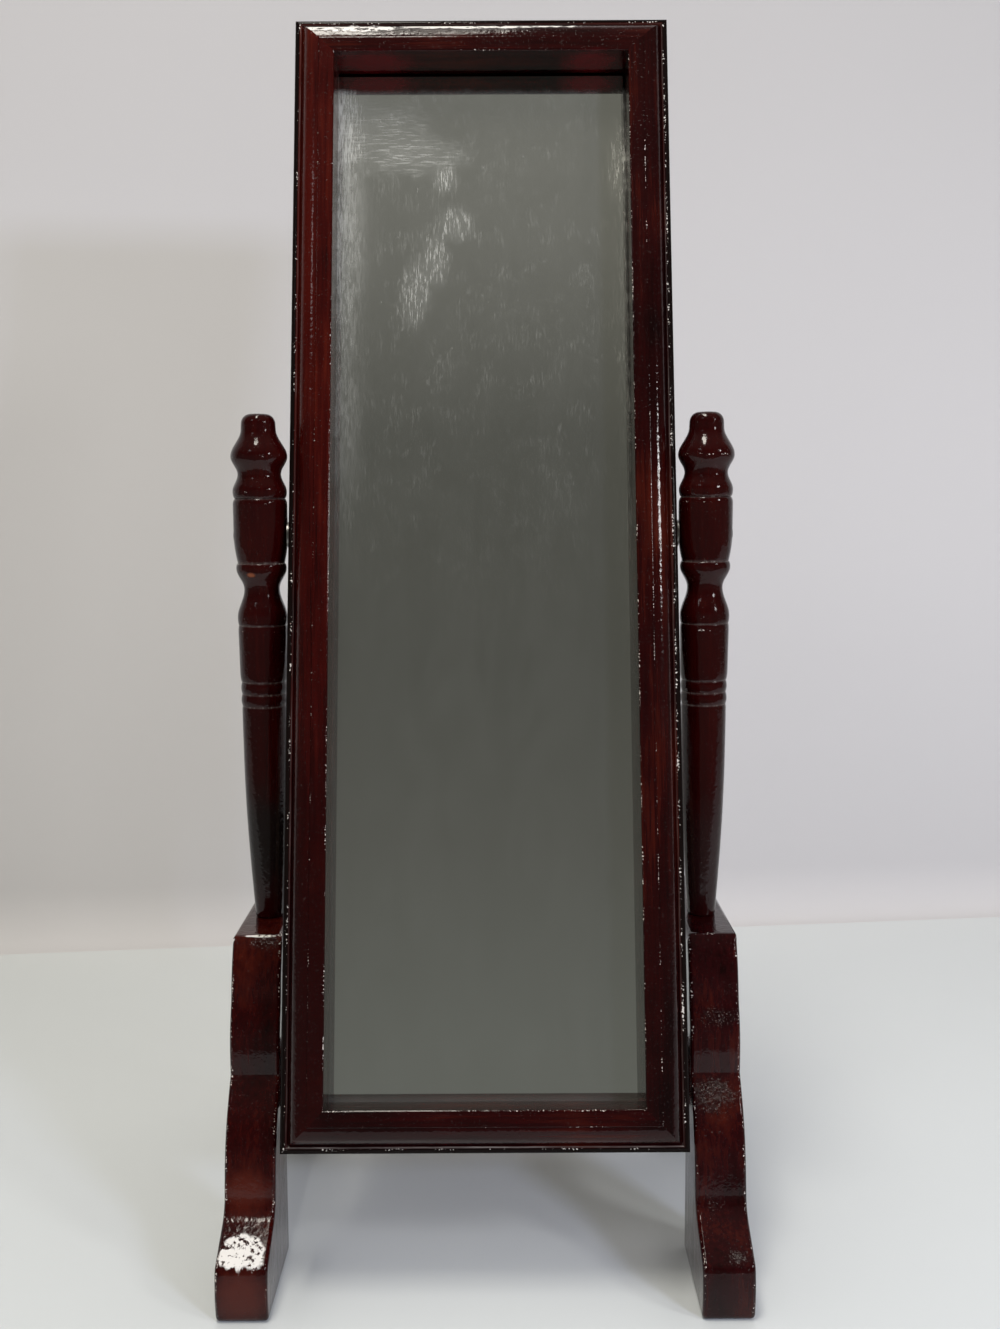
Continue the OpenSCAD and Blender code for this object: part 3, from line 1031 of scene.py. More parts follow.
@dataclass(frozen=True)
class StagePaint:
    """Plain finish of the table or the wall.

    Attributes:
        name: Name of the material.
        colour: Its colour.
        roughness: Its roughness.
        painted_shade_above: Painted shade: how much darker it is at a height of 0.9 m than at 0.3
            m.
        one_sided: Whether its back is clear, for views from behind.
    """

    name: str
    colour: Colour
    roughness: float
    painted_shade_above: float = 0.0
    one_sided: bool = False

    def build(self) -> bpy.types.Material:
        """Builds the material.

        Returns:
            The finished material.
        """
        material, g = new_material(self.name)
        clouds = g.noise(g.places(), 2.2, 2.0, 0.5)
        plain = g.mix(clouds, tuple(v * 0.94 for v in self.colour), self.colour)
        _, _, up = g.parts(g.places())
        # Painted shade: the paint darkens upwards
        colour = g.mix(g.step(up, 0.30, 0.90) * self.painted_shade_above, plain, (0.0, 0.0, 0.0))
        paint = g.principled({"Base Color": colour, "Roughness": self.roughness})
        if self.one_sided:
            behind = g.node("ShaderNodeNewGeometry", output="Backfacing")
            paint = g.blend(behind, paint, g.node("ShaderNodeBsdfTransparent"))
        g.surface(paint)
        return material


# Sub-assemblies


@dataclass
class Foot:
    """Thick board with a stepped outline, alike at front and back, and an arch between its pads.

    Attributes:
        side: The half of the mirror that it stands on.
        inner: Distance of its inner face from the mirror's middle; all sizes in millimetres.
        thickness: Thickness of the board.
        height: Height of the level top.
        top_half: Half the length of the level top.
        ledge: Reach and height of the ledge under the first swell.
        notch: Reach and height of the notch under the second swell.
        shin: Reach and height of the lower end of the shin.
        bows: How far the two swells and the shin bow out.
        cove_r: Radius of the cove between shin and toe.
        toe: Reach and height of the toe's top edge.
        toe_swell: How far the toe's front bows out.
        arch_half: Half the width of the arch.
        arch_height: Height of the arch.
        arch_corner: Radius of the arch's upper corners.
        top_r: Rounding of the top's two edges across the board.
        toe_r: Rounding of the toes' top edges across the board.
        sole_r: Rounding of the toes' lower edges across the board.
        rim_r: Rounding round both side faces.
    """

    side: Side
    inner: float = 98.0
    thickness: float = 24.0
    height: float = 160.0
    top_half: float = 53.6
    ledge: Point = (64.0, 130.0)
    notch: Point = (69.8, 96.5)
    shin: Point = (91.7, 48.0)
    bows: tuple[float, float, float] = (1.5, 2.6, 4.6)
    cove_r: float = 12.6
    toe: Point = (117.75, 25.8)
    toe_swell: float = 1.75
    arch_half: float = 54.0
    arch_height: float = 58.0
    arch_corner: float = 12.0
    top_r: float = 2.5
    toe_r: float = 2.6
    sole_r: float = 2.4
    rim_r: float = 2.0

    def cove(self) -> list[Point]:
        """Reach and height along the cove, from the shin to where it runs into the toe.

        Returns:
            The points, in millimetres.
        """
        centre = (self.shin[0] + self.cove_r, self.shin[1])
        to_toe = (self.toe[0] - centre[0], self.toe[1] - centre[1])
        end = math.atan2(to_toe[1], to_toe[0]) - math.acos(self.cove_r / math.hypot(*to_toe))
        sweep = [-math.pi + (math.pi + end) * i / 12 for i in range(1, 13)]
        return [
            (centre[0] + self.cove_r * math.cos(a), centre[1] + self.cove_r * math.sin(a))
            for a in sweep
        ]

    def front_outline(self) -> list[Point]:
        """Reach and height from the top's front corner down to the sole.

        Returns:
            The points, in millimetres.
        """
        first, second, third = self.bows
        return joined(
            bowed((self.top_half, self.height), self.ledge, -first, steps=8),
            bowed(self.ledge, self.notch, -second, steps=10),
            bowed(self.notch, self.shin, -third, steps=16),
            self.cove(),
            bowed(self.toe, (self.toe[0], 0.0), -self.toe_swell, steps=8),
        )

    def arch_outline(self) -> list[Point]:
        """Half the arch, from the floor up to its crown.

        Returns:
            The points, in millimetres.
        """
        r = self.arch_corner
        rim, spring = self.arch_half - r, self.arch_height - r
        turn = [math.pi / 2 * i / 8 for i in range(9)]
        corner = [(rim + r * math.cos(a), spring + r * math.sin(a)) for a in turn]
        return joined([(self.arch_half, 0.0)], corner)

    def outline(self) -> list[Point]:
        """The whole outline: position along Y and height, in metres."""
        half = [(-y * MM, z * MM) for y, z in (*self.front_outline(), *self.arch_outline())]
        return half + [(-y, z) for y, z in reversed(half)]

    def exposure(self, spot: Vector) -> float:
        """How worn a place is: most on the roundings between the faces.

        Args:
            spot: A place on the piece.

        Returns:
            The wear, from 0 to 1.
        """
        x = abs(spot.x) / MM
        edge = min(x - self.inner, self.inner + self.thickness - x)
        return max(0.0, math.sin(math.pi * min(max(edge / self.rim_r, 0.0), 1.0)))

    def along_corner(self, reach: float, high: float) -> EdgeTest:
        """Makes a test for the edges that run across the board at a corner, front and back.

        Args:
            reach: The corner's distance from the middle of the foot, in millimetres.
            high: The corner's height, in millimetres.

        Returns:
            The test.
        """

        def test(a: Vector, b: Vector) -> bool:
            """Both ends lie on the corner."""
            return all(
                abs(abs(v.y) - reach * MM) < 2e-5 and abs(v.z - high * MM) < 2e-5 for v in (a, b)
            )

        return test

    def on_rim(self) -> EdgeTest:
        """Makes a test for the edges round either side face.

        Returns:
            The test.
        """
        faces = (self.inner * MM, (self.inner + self.thickness) * MM)

        def test(a: Vector, b: Vector) -> bool:
            """Both ends lie on the same side face."""
            return any(abs(abs(a.x) - x) < 1e-6 and abs(abs(b.x) - x) < 1e-6 for x in faces)

        return test

    def build(self, material: bpy.types.Material) -> bpy.types.Object:
        """Models the foot.

        Args:
            material: Its finish.

        Returns:
            The finished piece.
        """
        sign = self.side.value
        start = sign * self.inner * MM
        places = [Vector((start, y, z)) for y, z in self.outline()]
        foot = Bench.ring(self.side.label("foot_board"), places)
        Bench.extrude(foot, Vector((sign * self.thickness * MM, 0, 0)))
        Bench.outward(foot)
        corners = (
            (self.top_half, self.height, self.top_r),
            (*self.toe, self.toe_r),
            (self.toe[0], 0.0, self.sole_r),
        )
        for reach, high, radius in corners:
            Bench.bevel(foot, self.along_corner(reach, high), radius * MM, 4)
        Bench.bevel(foot, self.on_rim(), self.rim_r * MM, 5)
        Bench.paint(foot, "wear", self.exposure)
        Bench.smooth(foot, 38.0)
        return Bench.hand_over(foot, self.side.label("foot"), STAND, material)


@dataclass
class TurnedPost:
    """Post turned from one square: knob, bulge, beads, barrels, rings and a tapered shaft.

    A pair of numbers is a diameter and a rise above the pivot. All sizes are in millimetres.

    Attributes:
        side: The half of the mirror that it stands on.
        x: Distance of its axis from the mirror's middle.
        y: Place of its axis from front to back.
        pivot: Height of the pivot.
        foot: Height at which it stands on the foot.
        foot_round: Rounding of the shaft's lower edge.
        shaft_foot_d: Diameter of the shaft's lower end.
        shaft_swell: How far the shaft's outline bows out.
        shaft_top: The shaft's upper end.
        ring_groove: The lowest of the three grooves round the rings.
        ring_d: Diameter of the two rings.
        ring_pitch: Height from groove to groove.
        lower_end: Lower end of the lower barrel.
        lower_barrel: Upper end of the lower barrel.
        bell_groove: Groove between the lower barrel and the bell.
        bell: The bell's rim.
        waist: The thinnest place above the bell.
        lower_bead: Bead under the barrel.
        lower_groove: Groove between that bead and the barrel.
        barrel: The barrel at the pivot.
        barrel_top: Upper end of the barrel.
        upper_groove: Groove between the barrel and the bead above it.
        upper_bead: Bead above the barrel.
        neck: The thinnest place above that bead.
        bulge: The widest place under the knob.
        knob_neck: The neck of the knob.
        knob: The knob's edge.
        knob_top: The knob's flat top.
        bore_profile: Radius and distance from the mirror's middle along the screw hole.
    """

    side: Side
    x: float = 109.45
    y: float = -20.0
    pivot: float = PIVOT.z / MM
    foot: float = 160.0
    foot_round: float = 1.2
    shaft_foot_d: float = 14.0
    shaft_swell: float = 1.15
    shaft_top: Point = (22.3, -85.9)
    ring_groove: Point = (21.8, -84.4)
    ring_d: float = 22.9
    ring_pitch: float = 6.0
    lower_end: Point = (23.5, -66.4)
    lower_barrel: Point = (24.1, -47.2)
    bell_groove: Point = (23.1, -44.2)
    bell: Point = (24.4, -40.5)
    waist: Point = (17.4, -26.3)
    lower_bead: Point = (24.7, -16.2)
    lower_groove: Point = (22.9, -13.7)
    barrel: Point = (26.5, 0.0)
    barrel_top: Point = (26.5, 14.8)
    upper_groove: Point = (23.9, 17.8)
    upper_bead: Point = (26.4, 21.3)
    neck: Point = (21.2, 29.7)
    bulge: Point = (27.6, 38.2)
    knob_neck: Point = (17.0, 51.5)
    knob: Point = (16.8, 53.8)
    knob_top: Point = (8.0, 58.8)
    bore_profile: tuple[Point, ...] = (
        (0.0, 80.0),
        (2.25, 80.0),
        (2.25, 119.8),
        (6.9, 124.4),
        (0.0, 124.4),
    )

    def turned(self, mark: Point) -> Point:
        """Radius and height of a place that is given by its diameter and its rise."""
        return (mark[0] / 2, self.pivot + mark[1])

    def ring_rise(self, count: int) -> float:
        """Rise of one of the grooves round the rings, counted from the lowest."""
        return self.ring_groove[1] + self.ring_pitch * count

    def outline(self) -> list[Point]:
        """Radius and height from the foot of the shaft up to the knob.

        Returns:
            The points, in millimetres.
        """
        groove_d = self.ring_groove[0]
        rings: list[Point] = []
        for k in range(2):
            low = self.turned((groove_d, self.ring_rise(k)))
            high = (low[0], low[1] + self.ring_pitch)
            rings += bowed(low, high, (self.ring_d - groove_d) / 2)
        base, rim = self.shaft_foot_d / 2, self.foot_round
        upper_groove, lower_groove = self.turned(self.upper_groove), self.turned(self.lower_groove)
        bead, lower_bead = self.turned(self.upper_bead), self.turned(self.lower_bead)
        neck, bulge, waist = (self.turned(mark) for mark in (self.neck, self.bulge, self.waist))
        bell, bell_groove = self.turned(self.bell), self.turned(self.bell_groove)
        top = self.turned(self.knob_top)
        return joined(
            [(0.0, self.foot), (base - rim, self.foot)],
            rounded((base - rim, self.foot), (base, self.foot + rim), steps=5),
            bowed((base, self.foot + rim), self.turned(self.shaft_top), self.shaft_swell, steps=24),
            rings,
            rounded(self.turned((groove_d, self.ring_rise(2))), self.turned(self.lower_end)),
            reversed(rounded(bell_groove, self.turned(self.lower_barrel))),
            rounded(bell_groove, bell),
            eased(bell, waist),
            eased(waist, lower_bead),
            reversed(rounded(lower_groove, lower_bead)),
            bowed(lower_groove, self.turned(self.barrel), 0.4),
            reversed(rounded(upper_groove, self.turned(self.barrel_top))),
            rounded(upper_groove, bead),
            eased(bead, neck),
            eased(neck, bulge),
            eased(bulge, self.turned(self.knob_neck)),
            reversed(rounded(top, self.turned(self.knob))),
            [(0.0, top[1])],
        )

    def exposure(self, spot: Vector) -> float:
        """How worn a place is: most on the crests of the turning.

        Args:
            spot: A place on the piece.

        Returns:
            The wear, from 0 to 1.
        """
        rise = spot.z / MM - self.pivot
        crests = ((38.2, 1.2), (21.0, 0.7), (15.4, 0.7), (-13.9, 0.6), (-40.8, 0.7), (-46.9, 0.7))
        return max(math.exp(-(((rise - at) / wide) ** 2)) for at, wide in crests)

    def settled(self, spot: Vector) -> float:
        """How much dust lies on a place: most in the grooves of the turning.

        Args:
            spot: A place on the piece.

        Returns:
            The dust, from 0 to 2.6.
        """
        rise = spot.z / MM - self.pivot
        grooves = [self.upper_groove[1], self.lower_groove[1], self.bell_groove[1]]
        grooves += [self.ring_rise(k) for k in range(3)]
        return max(2.6 * math.exp(-(((rise - at) / 0.35) ** 2)) for at in grooves)

    def bore(self) -> bpy.types.Object:
        """Models the cutter for the pivot's bore and its countersink.

        Returns:
            The cutter.
        """
        sign, y = self.side.value, self.y * MM
        places = [Vector((sign * x * MM, y, PIVOT.z + r * MM)) for r, x in self.bore_profile]
        return Bench.spun("bore_cutter", places, (0, y, PIVOT.z), (1, 0, 0), 48)

    def build(self, material: bpy.types.Material) -> bpy.types.Object:
        """Models the post.

        Args:
            material: Its finish.

        Returns:
            The finished piece.
        """
        x, y = self.side.value * self.x * MM, self.y * MM
        places = [Vector((x + r * MM, y, z * MM)) for r, z in finer(self.outline(), 1.3)]
        post = Bench.spun(self.side.label("post_turning"), places, (x, y, 0), (0, 0, 1), 112)
        Bench.cut(post, self.bore())
        Bench.paint(post, "wear", self.exposure)
        Bench.paint(post, "dust", self.settled)
        Bench.smooth(post, 40.0)
        return Bench.hand_over(post, self.side.label("post"), STAND, material)


@dataclass
class Stretcher:
    """Plain rail between the rear legs of the feet; sizes in millimetres."""

    half_length: float = 98.0
    y: float = 72.85
    z: float = 38.0
    thickness: float = 18.0
    height: float = 36.0
    edge_r: float = 2.2

    def exposure(self, spot: Vector) -> float:
        """How worn a place is: most on the long edges.

        Args:
            spot: A place on the piece.

        Returns:
            The wear, 0 or 1.
        """
        off_y = self.thickness / 2 - abs(spot.y / MM - self.y)
        off_z = self.height / 2 - abs(spot.z / MM - self.z)
        return 1.0 if 0.05 < off_y < 1.5 and 0.05 < off_z < 1.5 else 0.0

    def build(self, material: bpy.types.Material) -> bpy.types.Object:
        """Models the stretcher.

        Args:
            material: Its finish.

        Returns:
            The finished piece.
        """
        t, h = self.thickness * MM / 2, self.height * MM / 2
        y, z = self.y * MM, self.z * MM
        start = -self.half_length * MM
        corners = ((-1, -1), (1, -1), (1, 1), (-1, 1))
        places = [Vector((start, y + a * t, z + b * h)) for a, b in corners]
        rail = Bench.ring("rear_stretcher_rail", places)
        Bench.extrude(rail, Vector((2 * self.half_length * MM, 0, 0)))
        Bench.outward(rail)
        Bench.bevel(rail, lambda a, b: abs(a.x - b.x) > 0.01, self.edge_r * MM, 5)
        Bench.paint(rail, "wear", self.exposure)
        Bench.smooth(rail)
        return Bench.hand_over(rail, "rear_stretcher", STAND, material)


@dataclass
class FrameMember:
    """One mitred length of the moulding, modelled along X with its outer edge up.

    Attributes:
        node: The CAD node that it stands for.
        length: Length along the outer edge; this and all sizes below in millimetres.
        turn: How far it is turned in the frame's plane, in radians.
        shift: Its outer edge's middle, across and up from the pivot axis.
        drilled: Whether the corner nails go in through its outer edge.
        glass_dust: How dusty the side of the opening is.
        bead_highlight: Strength of the painted highlight line on the inner side of the bead, stored
            as dust.
        width: Width of the moulding.
        depth: Depth of the moulding.
        flat: Width of the front flat.
        setback: How far the outer edge lies behind the front flat.
        bead_r: Radius of the bead along the outer edge.
        bead_turn: How far round the bead goes, in degrees.
        groove: Width of the groove's floor inside the bead.
        face_depth: Depth at which the rounded face meets the fine step.
        fine_step: Depth, and inset from the edge of the flat, along the fine step.
        rebate: Inset of the rebate for glass and board.
        glass: Depth of the glass.
        arris_r: Radius of the inner arris.
        rear_chamfer: Chamfer along the rear of the outer edge.
        pivot_depth: Depth of the pivot axis behind the front flat.
        nail_depths: Depths of the two nails at each corner.
        nail_inset: Distance of the nails from the corner.
        nail_head_r: Radius of a nail head's recess.
        nail_sink: Depth of a nail head's recess.
    """

    node: str
    length: float
    turn: float
    shift: Point
    drilled: bool = False
    glass_dust: float = 0.5
    bead_highlight: float = 1.0

    width: float = 20.7
    depth: float = 31.0
    flat: float = 7.8
    setback: float = 8.4
    bead_r: float = 2.2
    bead_turn: float = 150.0
    groove: float = 0.25
    face_depth: float = 0.42
    fine_step: tuple[Point, ...] = ((0.30, 0.05), (0.10, 0.16), (0.0, 0.40), (0.0, 0.9))
    rebate: float = 14.7
    glass: float = 21.4
    arris_r: float = 0.9
    rear_chamfer: float = 0.6
    pivot_depth: float = 17.0
    nail_depths: tuple[float, float] = (14.0, 25.0)
    nail_inset: float = 6.0
    nail_head_r: float = 1.65
    nail_sink: float = 1.3

    def section(self) -> list[Point]:
        """Depth behind the front flat and inset from the outer edge, round the moulding.

        Returns:
            The points, in millimetres.
        """
        back, chamfer, r = self.depth, self.rear_chamfer, self.arris_r
        turn = [math.radians(self.bead_turn) * i / 18 for i in range(19)]
        bead = [
            (self.setback - self.bead_r * math.sin(a), self.bead_r * (1 - math.cos(a)))
            for a in turn
        ]
        floor = (bead[-1][0], bead[-1][1] + self.groove)
        step = self.width - self.flat
        quarter = [math.pi / 2 * i / 6 for i in range(7)]
        arris = [(r * (1 - math.cos(a)), self.width - r * (1 - math.sin(a))) for a in quarter]
        return joined(
            [(back, chamfer), (back - chamfer, 0.0), (back - 1.4, 0.0), (self.setback + 0.4, 0.0)],
            bead,
            rounded(floor, (self.face_depth, step), steps=24),
            [(depth, step + inset) for depth, inset in self.fine_step],
            [(0.0, self.width - r - 0.5)],
            arris,
            [(r + 0.5, self.width), (self.glass - 0.9, self.width), (self.glass, self.width)],
            [(self.glass, self.rebate), (back, self.rebate)],
        )

    def matrix(self) -> Matrix:
        """From the member's own axes to its place in the leaning frame.

        Returns:
            The matrix, in metres.
        """
        across, up = self.shift
        place = Matrix.Translation((across * MM, 0, up * MM)) @ Matrix.Rotation(self.turn, 4, "Y")
        return Matrix.Translation(PIVOT) @ Matrix.Rotation(-LEAN, 4, "X") @ place

    def measured(self, spot: Vector) -> Point:
        """Depth and inset of a place in the member's own axes, in millimetres."""
        return (spot.y / MM + self.pivot_depth, -spot.z / MM)

    def exposure(self, spot: Vector) -> float:
        """How worn a place is: most on the crests of the moulding.

        Args:
            spot: A place on the piece, in its own axes.

        Returns:
            The wear, from 0 to 1.
        """
        crests = (
            ((self.setback - self.bead_r, self.bead_r), 0.9),
            ((0.1, self.width - self.flat + 0.15), 0.45),
            ((0.25, self.width - 0.25), 0.6),
            ((self.depth - 0.3, 0.3), 0.8),
        )
        here = self.measured(spot)
        return max(math.exp(-(math.dist(here, crest) / wide) ** 2) for crest, wide in crests)

    def settled(self, spot: Vector) -> float:
        """How much dust lies on a place next to the glass, and the painted highlight line beside
        the bead, which is stored as dust.

        Args:
            spot: A place on the piece, in its own axes.

        Returns:
            The amount, from 0 to 4.
        """
        depth, inset = self.measured(spot)
        # Painted highlight: a pale line on the inner side of the bead, laid on with the dust's
        # colour
        if abs(inset - self.bead_r * 1.4) < 0.35 and depth < self.setback:
            return self.bead_highlight
        if inset < self.width - 0.02 or depth < 0.5:
            return 0.0
        if depth > self.glass - 0.1:
            return self.glass_dust * 4.0
        return self.glass_dust * (0.35 + depth / self.glass * 0.65)

    def shade(self, spot: Vector) -> float:
        """How much painted shade a place gets: all of it on the outer half of the bead.

        Args:
            spot: A place on the piece, in its own axes.

        Returns:
            The painted shade, 0 or 1.
        """
        depth, inset = self.measured(spot)
        return 1.0 if inset < self.bead_r * 1.05 and depth < self.setback + 0.2 else 0.0

    def sink_nails(self, piece: bpy.types.Object) -> None:
        """Sinks the heads of the corner nails into the outer edge.

        Args:
            piece: The moulding, in its own axes.
        """
        x = (self.length / 2 - self.nail_inset) * MM
        for side in Side:
            for depth in self.nail_depths:
                Bench.clear_selection()
                bpy.ops.mesh.primitive_cylinder_add(
                    vertices=32,
                    radius=self.nail_head_r * MM,
                    depth=2 * self.nail_sink * MM,
                    location=(side.value * x, (depth - self.pivot_depth) * MM, 0.0),
                )
                Bench.cut(piece, bpy.context.object)

    def build(self, material: bpy.types.Material) -> bpy.types.Object:
        """Models the member.

        Args:
            material: Its finish.

        Returns:
            The finished piece.
        """
        half, axis = self.length / 2, self.pivot_depth
        places = [Vector(((u - half) * MM, (v - axis) * MM, -u * MM)) for v, u in self.section()]
        piece = Bench.ring(f"{self.node}_moulding", places)
        Bench.extrude(piece, Vector((self.length * MM, 0, 0)))
        # The far end is mitred the other way
        for vertex in piece.data.vertices:
            if vertex.co.x > 0:
                vertex.co.x = half * MM + vertex.co.z
        Bench.outward(piece)
        if self.drilled:
            self.sink_nails(piece)
        Bench.paint(piece, "wear", self.exposure)
        Bench.paint(piece, "dust", self.settled)
        Bench.paint(piece, "shade", self.shade)
        piece.data.transform(self.matrix())
        Bench.smooth(piece, 28.0)
        return Bench.hand_over(piece, self.node, TILTING, material)


@dataclass
class TiltingFrame:
    """The moulded frame with its glass, its back and its pivots; sizes in millimetres.

    Attributes:
        width: Width of the frame.
        height: Height of the frame.
        drop: How far its middle hangs below the pivot axis.
        painted_crimson_glow: Colour of the painted glow near the top rail's ends, where the light
            gets into the lacquer.
        shadowed: Colour of the painted shade on the lower half of the left stile.
        lit: Colour of the painted light on the left stile near its top.
    """

    width: float = 189.0
    height: float = 557.0
    drop: float = 14.0
    painted_crimson_glow: Colour = (0.085, 0.0016, 0.0040)
    shadowed: Colour = (0.0130, 0.0007, 0.0008)
    lit: Colour = (0.0500, 0.0034, 0.0020)

    def members(self) -> list[FrameMember]:
        """The two rails and the two stiles.

        Returns:
            The members.
        """
        top, bottom = self.height / 2 - self.drop, -self.height / 2 - self.drop
        right, left = (self.width / 2, -self.drop), (-self.width / 2, -self.drop)
        wide, high, quarter = self.width, self.height, math.pi / 2
        return [
            FrameMember("frame_top_rail", wide, 0.0, (0.0, top), True, glass_dust=0.0),
            # The bottom rail has the strongest painted highlight line on its bead
            FrameMember("frame_bottom_rail", wide, math.pi, (0.0, bottom), True, 0.1, 4.0),
            FrameMember("frame_right_stile", high, quarter, right, glass_dust=0.2),
            FrameMember("frame_left_stile", high, -quarter, left, glass_dust=0.7),
        ]

    def finishes(self) -> list[Lacquer]:
        """The finishes of the four members, in the same order.

        Returns:
            The finishes.
        """
        return [
            Lacquer(
                "top_rail_lacquer",
                Grain.ACROSS,
                leans=True,
                red=(0.0170, 0.0010, 0.0010),
                # Painted highlights: ragged white patches on the top rail's rounded face, for the
                # reflection of the lamps overhead
                painted_highlights=(
                    Patch((-0.0640, 0.0285, 0.6055), (0.046, 0.0100, 0.0052)),
                    Patch((0.0000, 0.0290, 0.6064), (0.085, 0.0080, 0.0028)),
                ),
                wrinkles=(Patch((-0.0300, 0.0285, 0.6045), (0.090, 0.0110, 0.0065)),),
                # Painted glows: crimson patches near the ends of the top rail
                stains_and_painted_light=(
                    Patch((-0.0560, 0.0310, 0.5900), (0.036, 0.0200, 0.0080), self.painted_crimson_glow),
                    Patch((0.0560, 0.0310, 0.5900), (0.026, 0.0200, 0.0080), self.painted_crimson_glow),
                ),
            ),
            Lacquer("bottom_rail_lacquer", Grain.ACROSS, leans=True, red=(0.0170, 0.0004, 0.0007)),
            Lacquer(
                "right_stile_lacquer",
                Grain.UPRIGHT,
                leans=True,
                chip_and_glint_level=0.05,
                red=(0.0155, 0.0010, 0.0011),
            ),
            # A lit copy: the left stile's lacquer is painted redder and brighter than the other
            # members', with painted shade on its lower half and painted light near its top
            Lacquer(
                "left_stile_lacquer",
                Grain.UPRIGHT,
                leans=True,
                red=(0.0310, 0.0019, 0.0014),
                glow=(0.0900, 0.0100, 0.0045),
                stains_and_painted_light=(
                    Patch((-0.0850, -0.0700, 0.1300), (0.050, 0.140, 0.210), self.shadowed),
                    Patch((-0.0880, 0.0050, 0.5000), (0.012, 0.060, 0.140), self.lit),
                ),
            ),
        ]

    def build(self) -> None:
        """Models the members and dresses the rest."""
        for member, finish in zip(self.members(), self.finishes()):
            member.build(finish.build())
        dress(DustyMirror().build(), "mirror_glass")
        dress(Hardboard().build(), "backing_board")
        steel = Steel().build()
        dress(steel, "top_corner_nails", "bottom_corner_nails", "backing_pins")
        for side in Side:
            dress(steel, side.label("pivot_screw"), side.label("pivot_washer"))


@dataclass
class Stand:
    """The two feet, the two posts and the stretcher with its dowels.

    Attributes:
        warm: Colour of the painted warm glow on the left foot's toe and shin.
    """

    warm: Colour = (0.0600, 0.0085, 0.0045)

    def foot_finish(self, side: Side) -> Lacquer:
        """Gives the finish of a foot.

        Args:
            side: The half of the mirror that it stands on.

        Returns:
            The finish.
        """
        if side is Side.RIGHT:
            return Lacquer(
                "right_foot_lacquer",
                Grain.UPRIGHT,
                red=(0.0180, 0.0012, 0.0018),
                chip_and_glint_level=0.04,
                wrinkles=(
                    Patch((0.1120, -0.0660, 0.1230), (0.0140, 0.0120, 0.0070)),
                    Patch((0.1080, -0.0740, 0.0860), (0.0170, 0.0140, 0.0150)),
                    Patch((0.1060, -0.0980, 0.0430), (0.0090, 0.0110, 0.0060)),
                    Patch((0.1140, -0.1160, 0.0300), (0.0100, 0.0080, 0.0050)),
                ),
            )
        return Lacquer(
            "left_foot_lacquer",
            Grain.UPRIGHT,
            chip_and_glint_level=0.04,
            # Painted highlights: white patches on the toe's slope and a line along the top's front
            # edge, for the reflection of the lamps overhead
            painted_highlights=(
                Patch((-0.1150, -0.1120, 0.0308), (0.0105, 0.0125, 0.0125)),
                Patch((-0.1065, -0.1120, 0.0308), (0.0105, 0.0125, 0.0125)),
                Patch((-0.1110, -0.1115, 0.0313), (0.0090, 0.0140, 0.0140)),
                Patch((-0.1085, -0.0530, 0.1594), (0.0120, 0.0018, 0.0010)),
            ),
            wrinkles=(Patch((-0.1060, -0.0530, 0.1560), (0.014, 0.006, 0.006)),),
            # Painted glows: warm patches on the toe and the shin
            stains_and_painted_light=(
                Patch((-0.1100, -0.1190, 0.0120), (0.020, 0.020, 0.022), self.warm),
                Patch((-0.1120, -0.0950, 0.0500), (0.020, 0.016, 0.018), self.warm),
            ),
        )

    def post_finish(self, side: Side) -> Lacquer:
        """Gives the finish of a post.

        Args:
            side: The half of the mirror that it stands on.

        Returns:
            The finish.
        """
        # Low on each shaft a greyer patch is a painted reflection, on the left post also painted
        # shade; the small orange patch on the left post is a nick
        round_shaft = (0.050, 0.050, 0.050)
        stains_and_painted_light = {
            Side.LEFT: (
                Patch((-0.1130, -0.0315, 0.3330), (0.0036, 0.0040, 0.0020), (0.20, 0.050, 0.014)),
                Patch((-0.1100, -0.0200, 0.2000), round_shaft, (0.0085, 0.0050, 0.0046)),
            ),
            Side.RIGHT: (Patch((0.1100, -0.0200, 0.1900), round_shaft, (0.0150, 0.0048, 0.0046)),),
        }
        return Lacquer(
            side.label("post_lacquer"),
            Grain.UPRIGHT,
            dark=(0.0110, 0.0004, 0.0005),
            red=(0.0165, 0.0006, 0.0007),
            glow=(0.0300, 0.0020, 0.0012),
            stains_and_painted_light=stains_and_painted_light[side],
        )

    def build(self) -> None:
        """Models the pieces of the stand and dresses the dowels."""
        for side in Side:
            Foot(side).build(self.foot_finish(side).build())
            TurnedPost(side).build(self.post_finish(side).build())
        Stretcher().build(Lacquer("stretcher_lacquer", Grain.ACROSS).build())
        dress(Beech().build(), "left_stretcher_dowels", "right_stretcher_dowels")


# Stage


@dataclass(frozen=True)
class Lamp:
    """One rectangular studio lamp.

    Attributes:
        name: Name of the lamp.
        place: Its middle, in metres.
        target: The place that it faces.
        size: Width and height, in metres.
        power: Power in watts.
        colour: Colour of its light.
        mirrored: Whether gloss and glass show it.
    """

    name: str
    place: Place
    target: Place
    size: tuple[float, float]
    power: float
    colour: Colour = (1.0, 1.0, 1.0)
    mirrored: bool = True

    def build(self) -> None:
        """Adds the lamp."""
        data = bpy.data.lights.new(self.name, "AREA")
        data.shape = "RECTANGLE"
        data.size, data.size_y = self.size
        data.energy = self.power
        data.color = self.colour
        lamp = bpy.data.objects.new(self.name, data)
        lamp.location = self.place
        way = Vector(self.target) - Vector(self.place)
        lamp.rotation_euler = way.to_track_quat("-Z", "Y").to_euler()
        lamp.visible_glossy = self.mirrored
        bpy.context.scene.collection.objects.link(lamp)


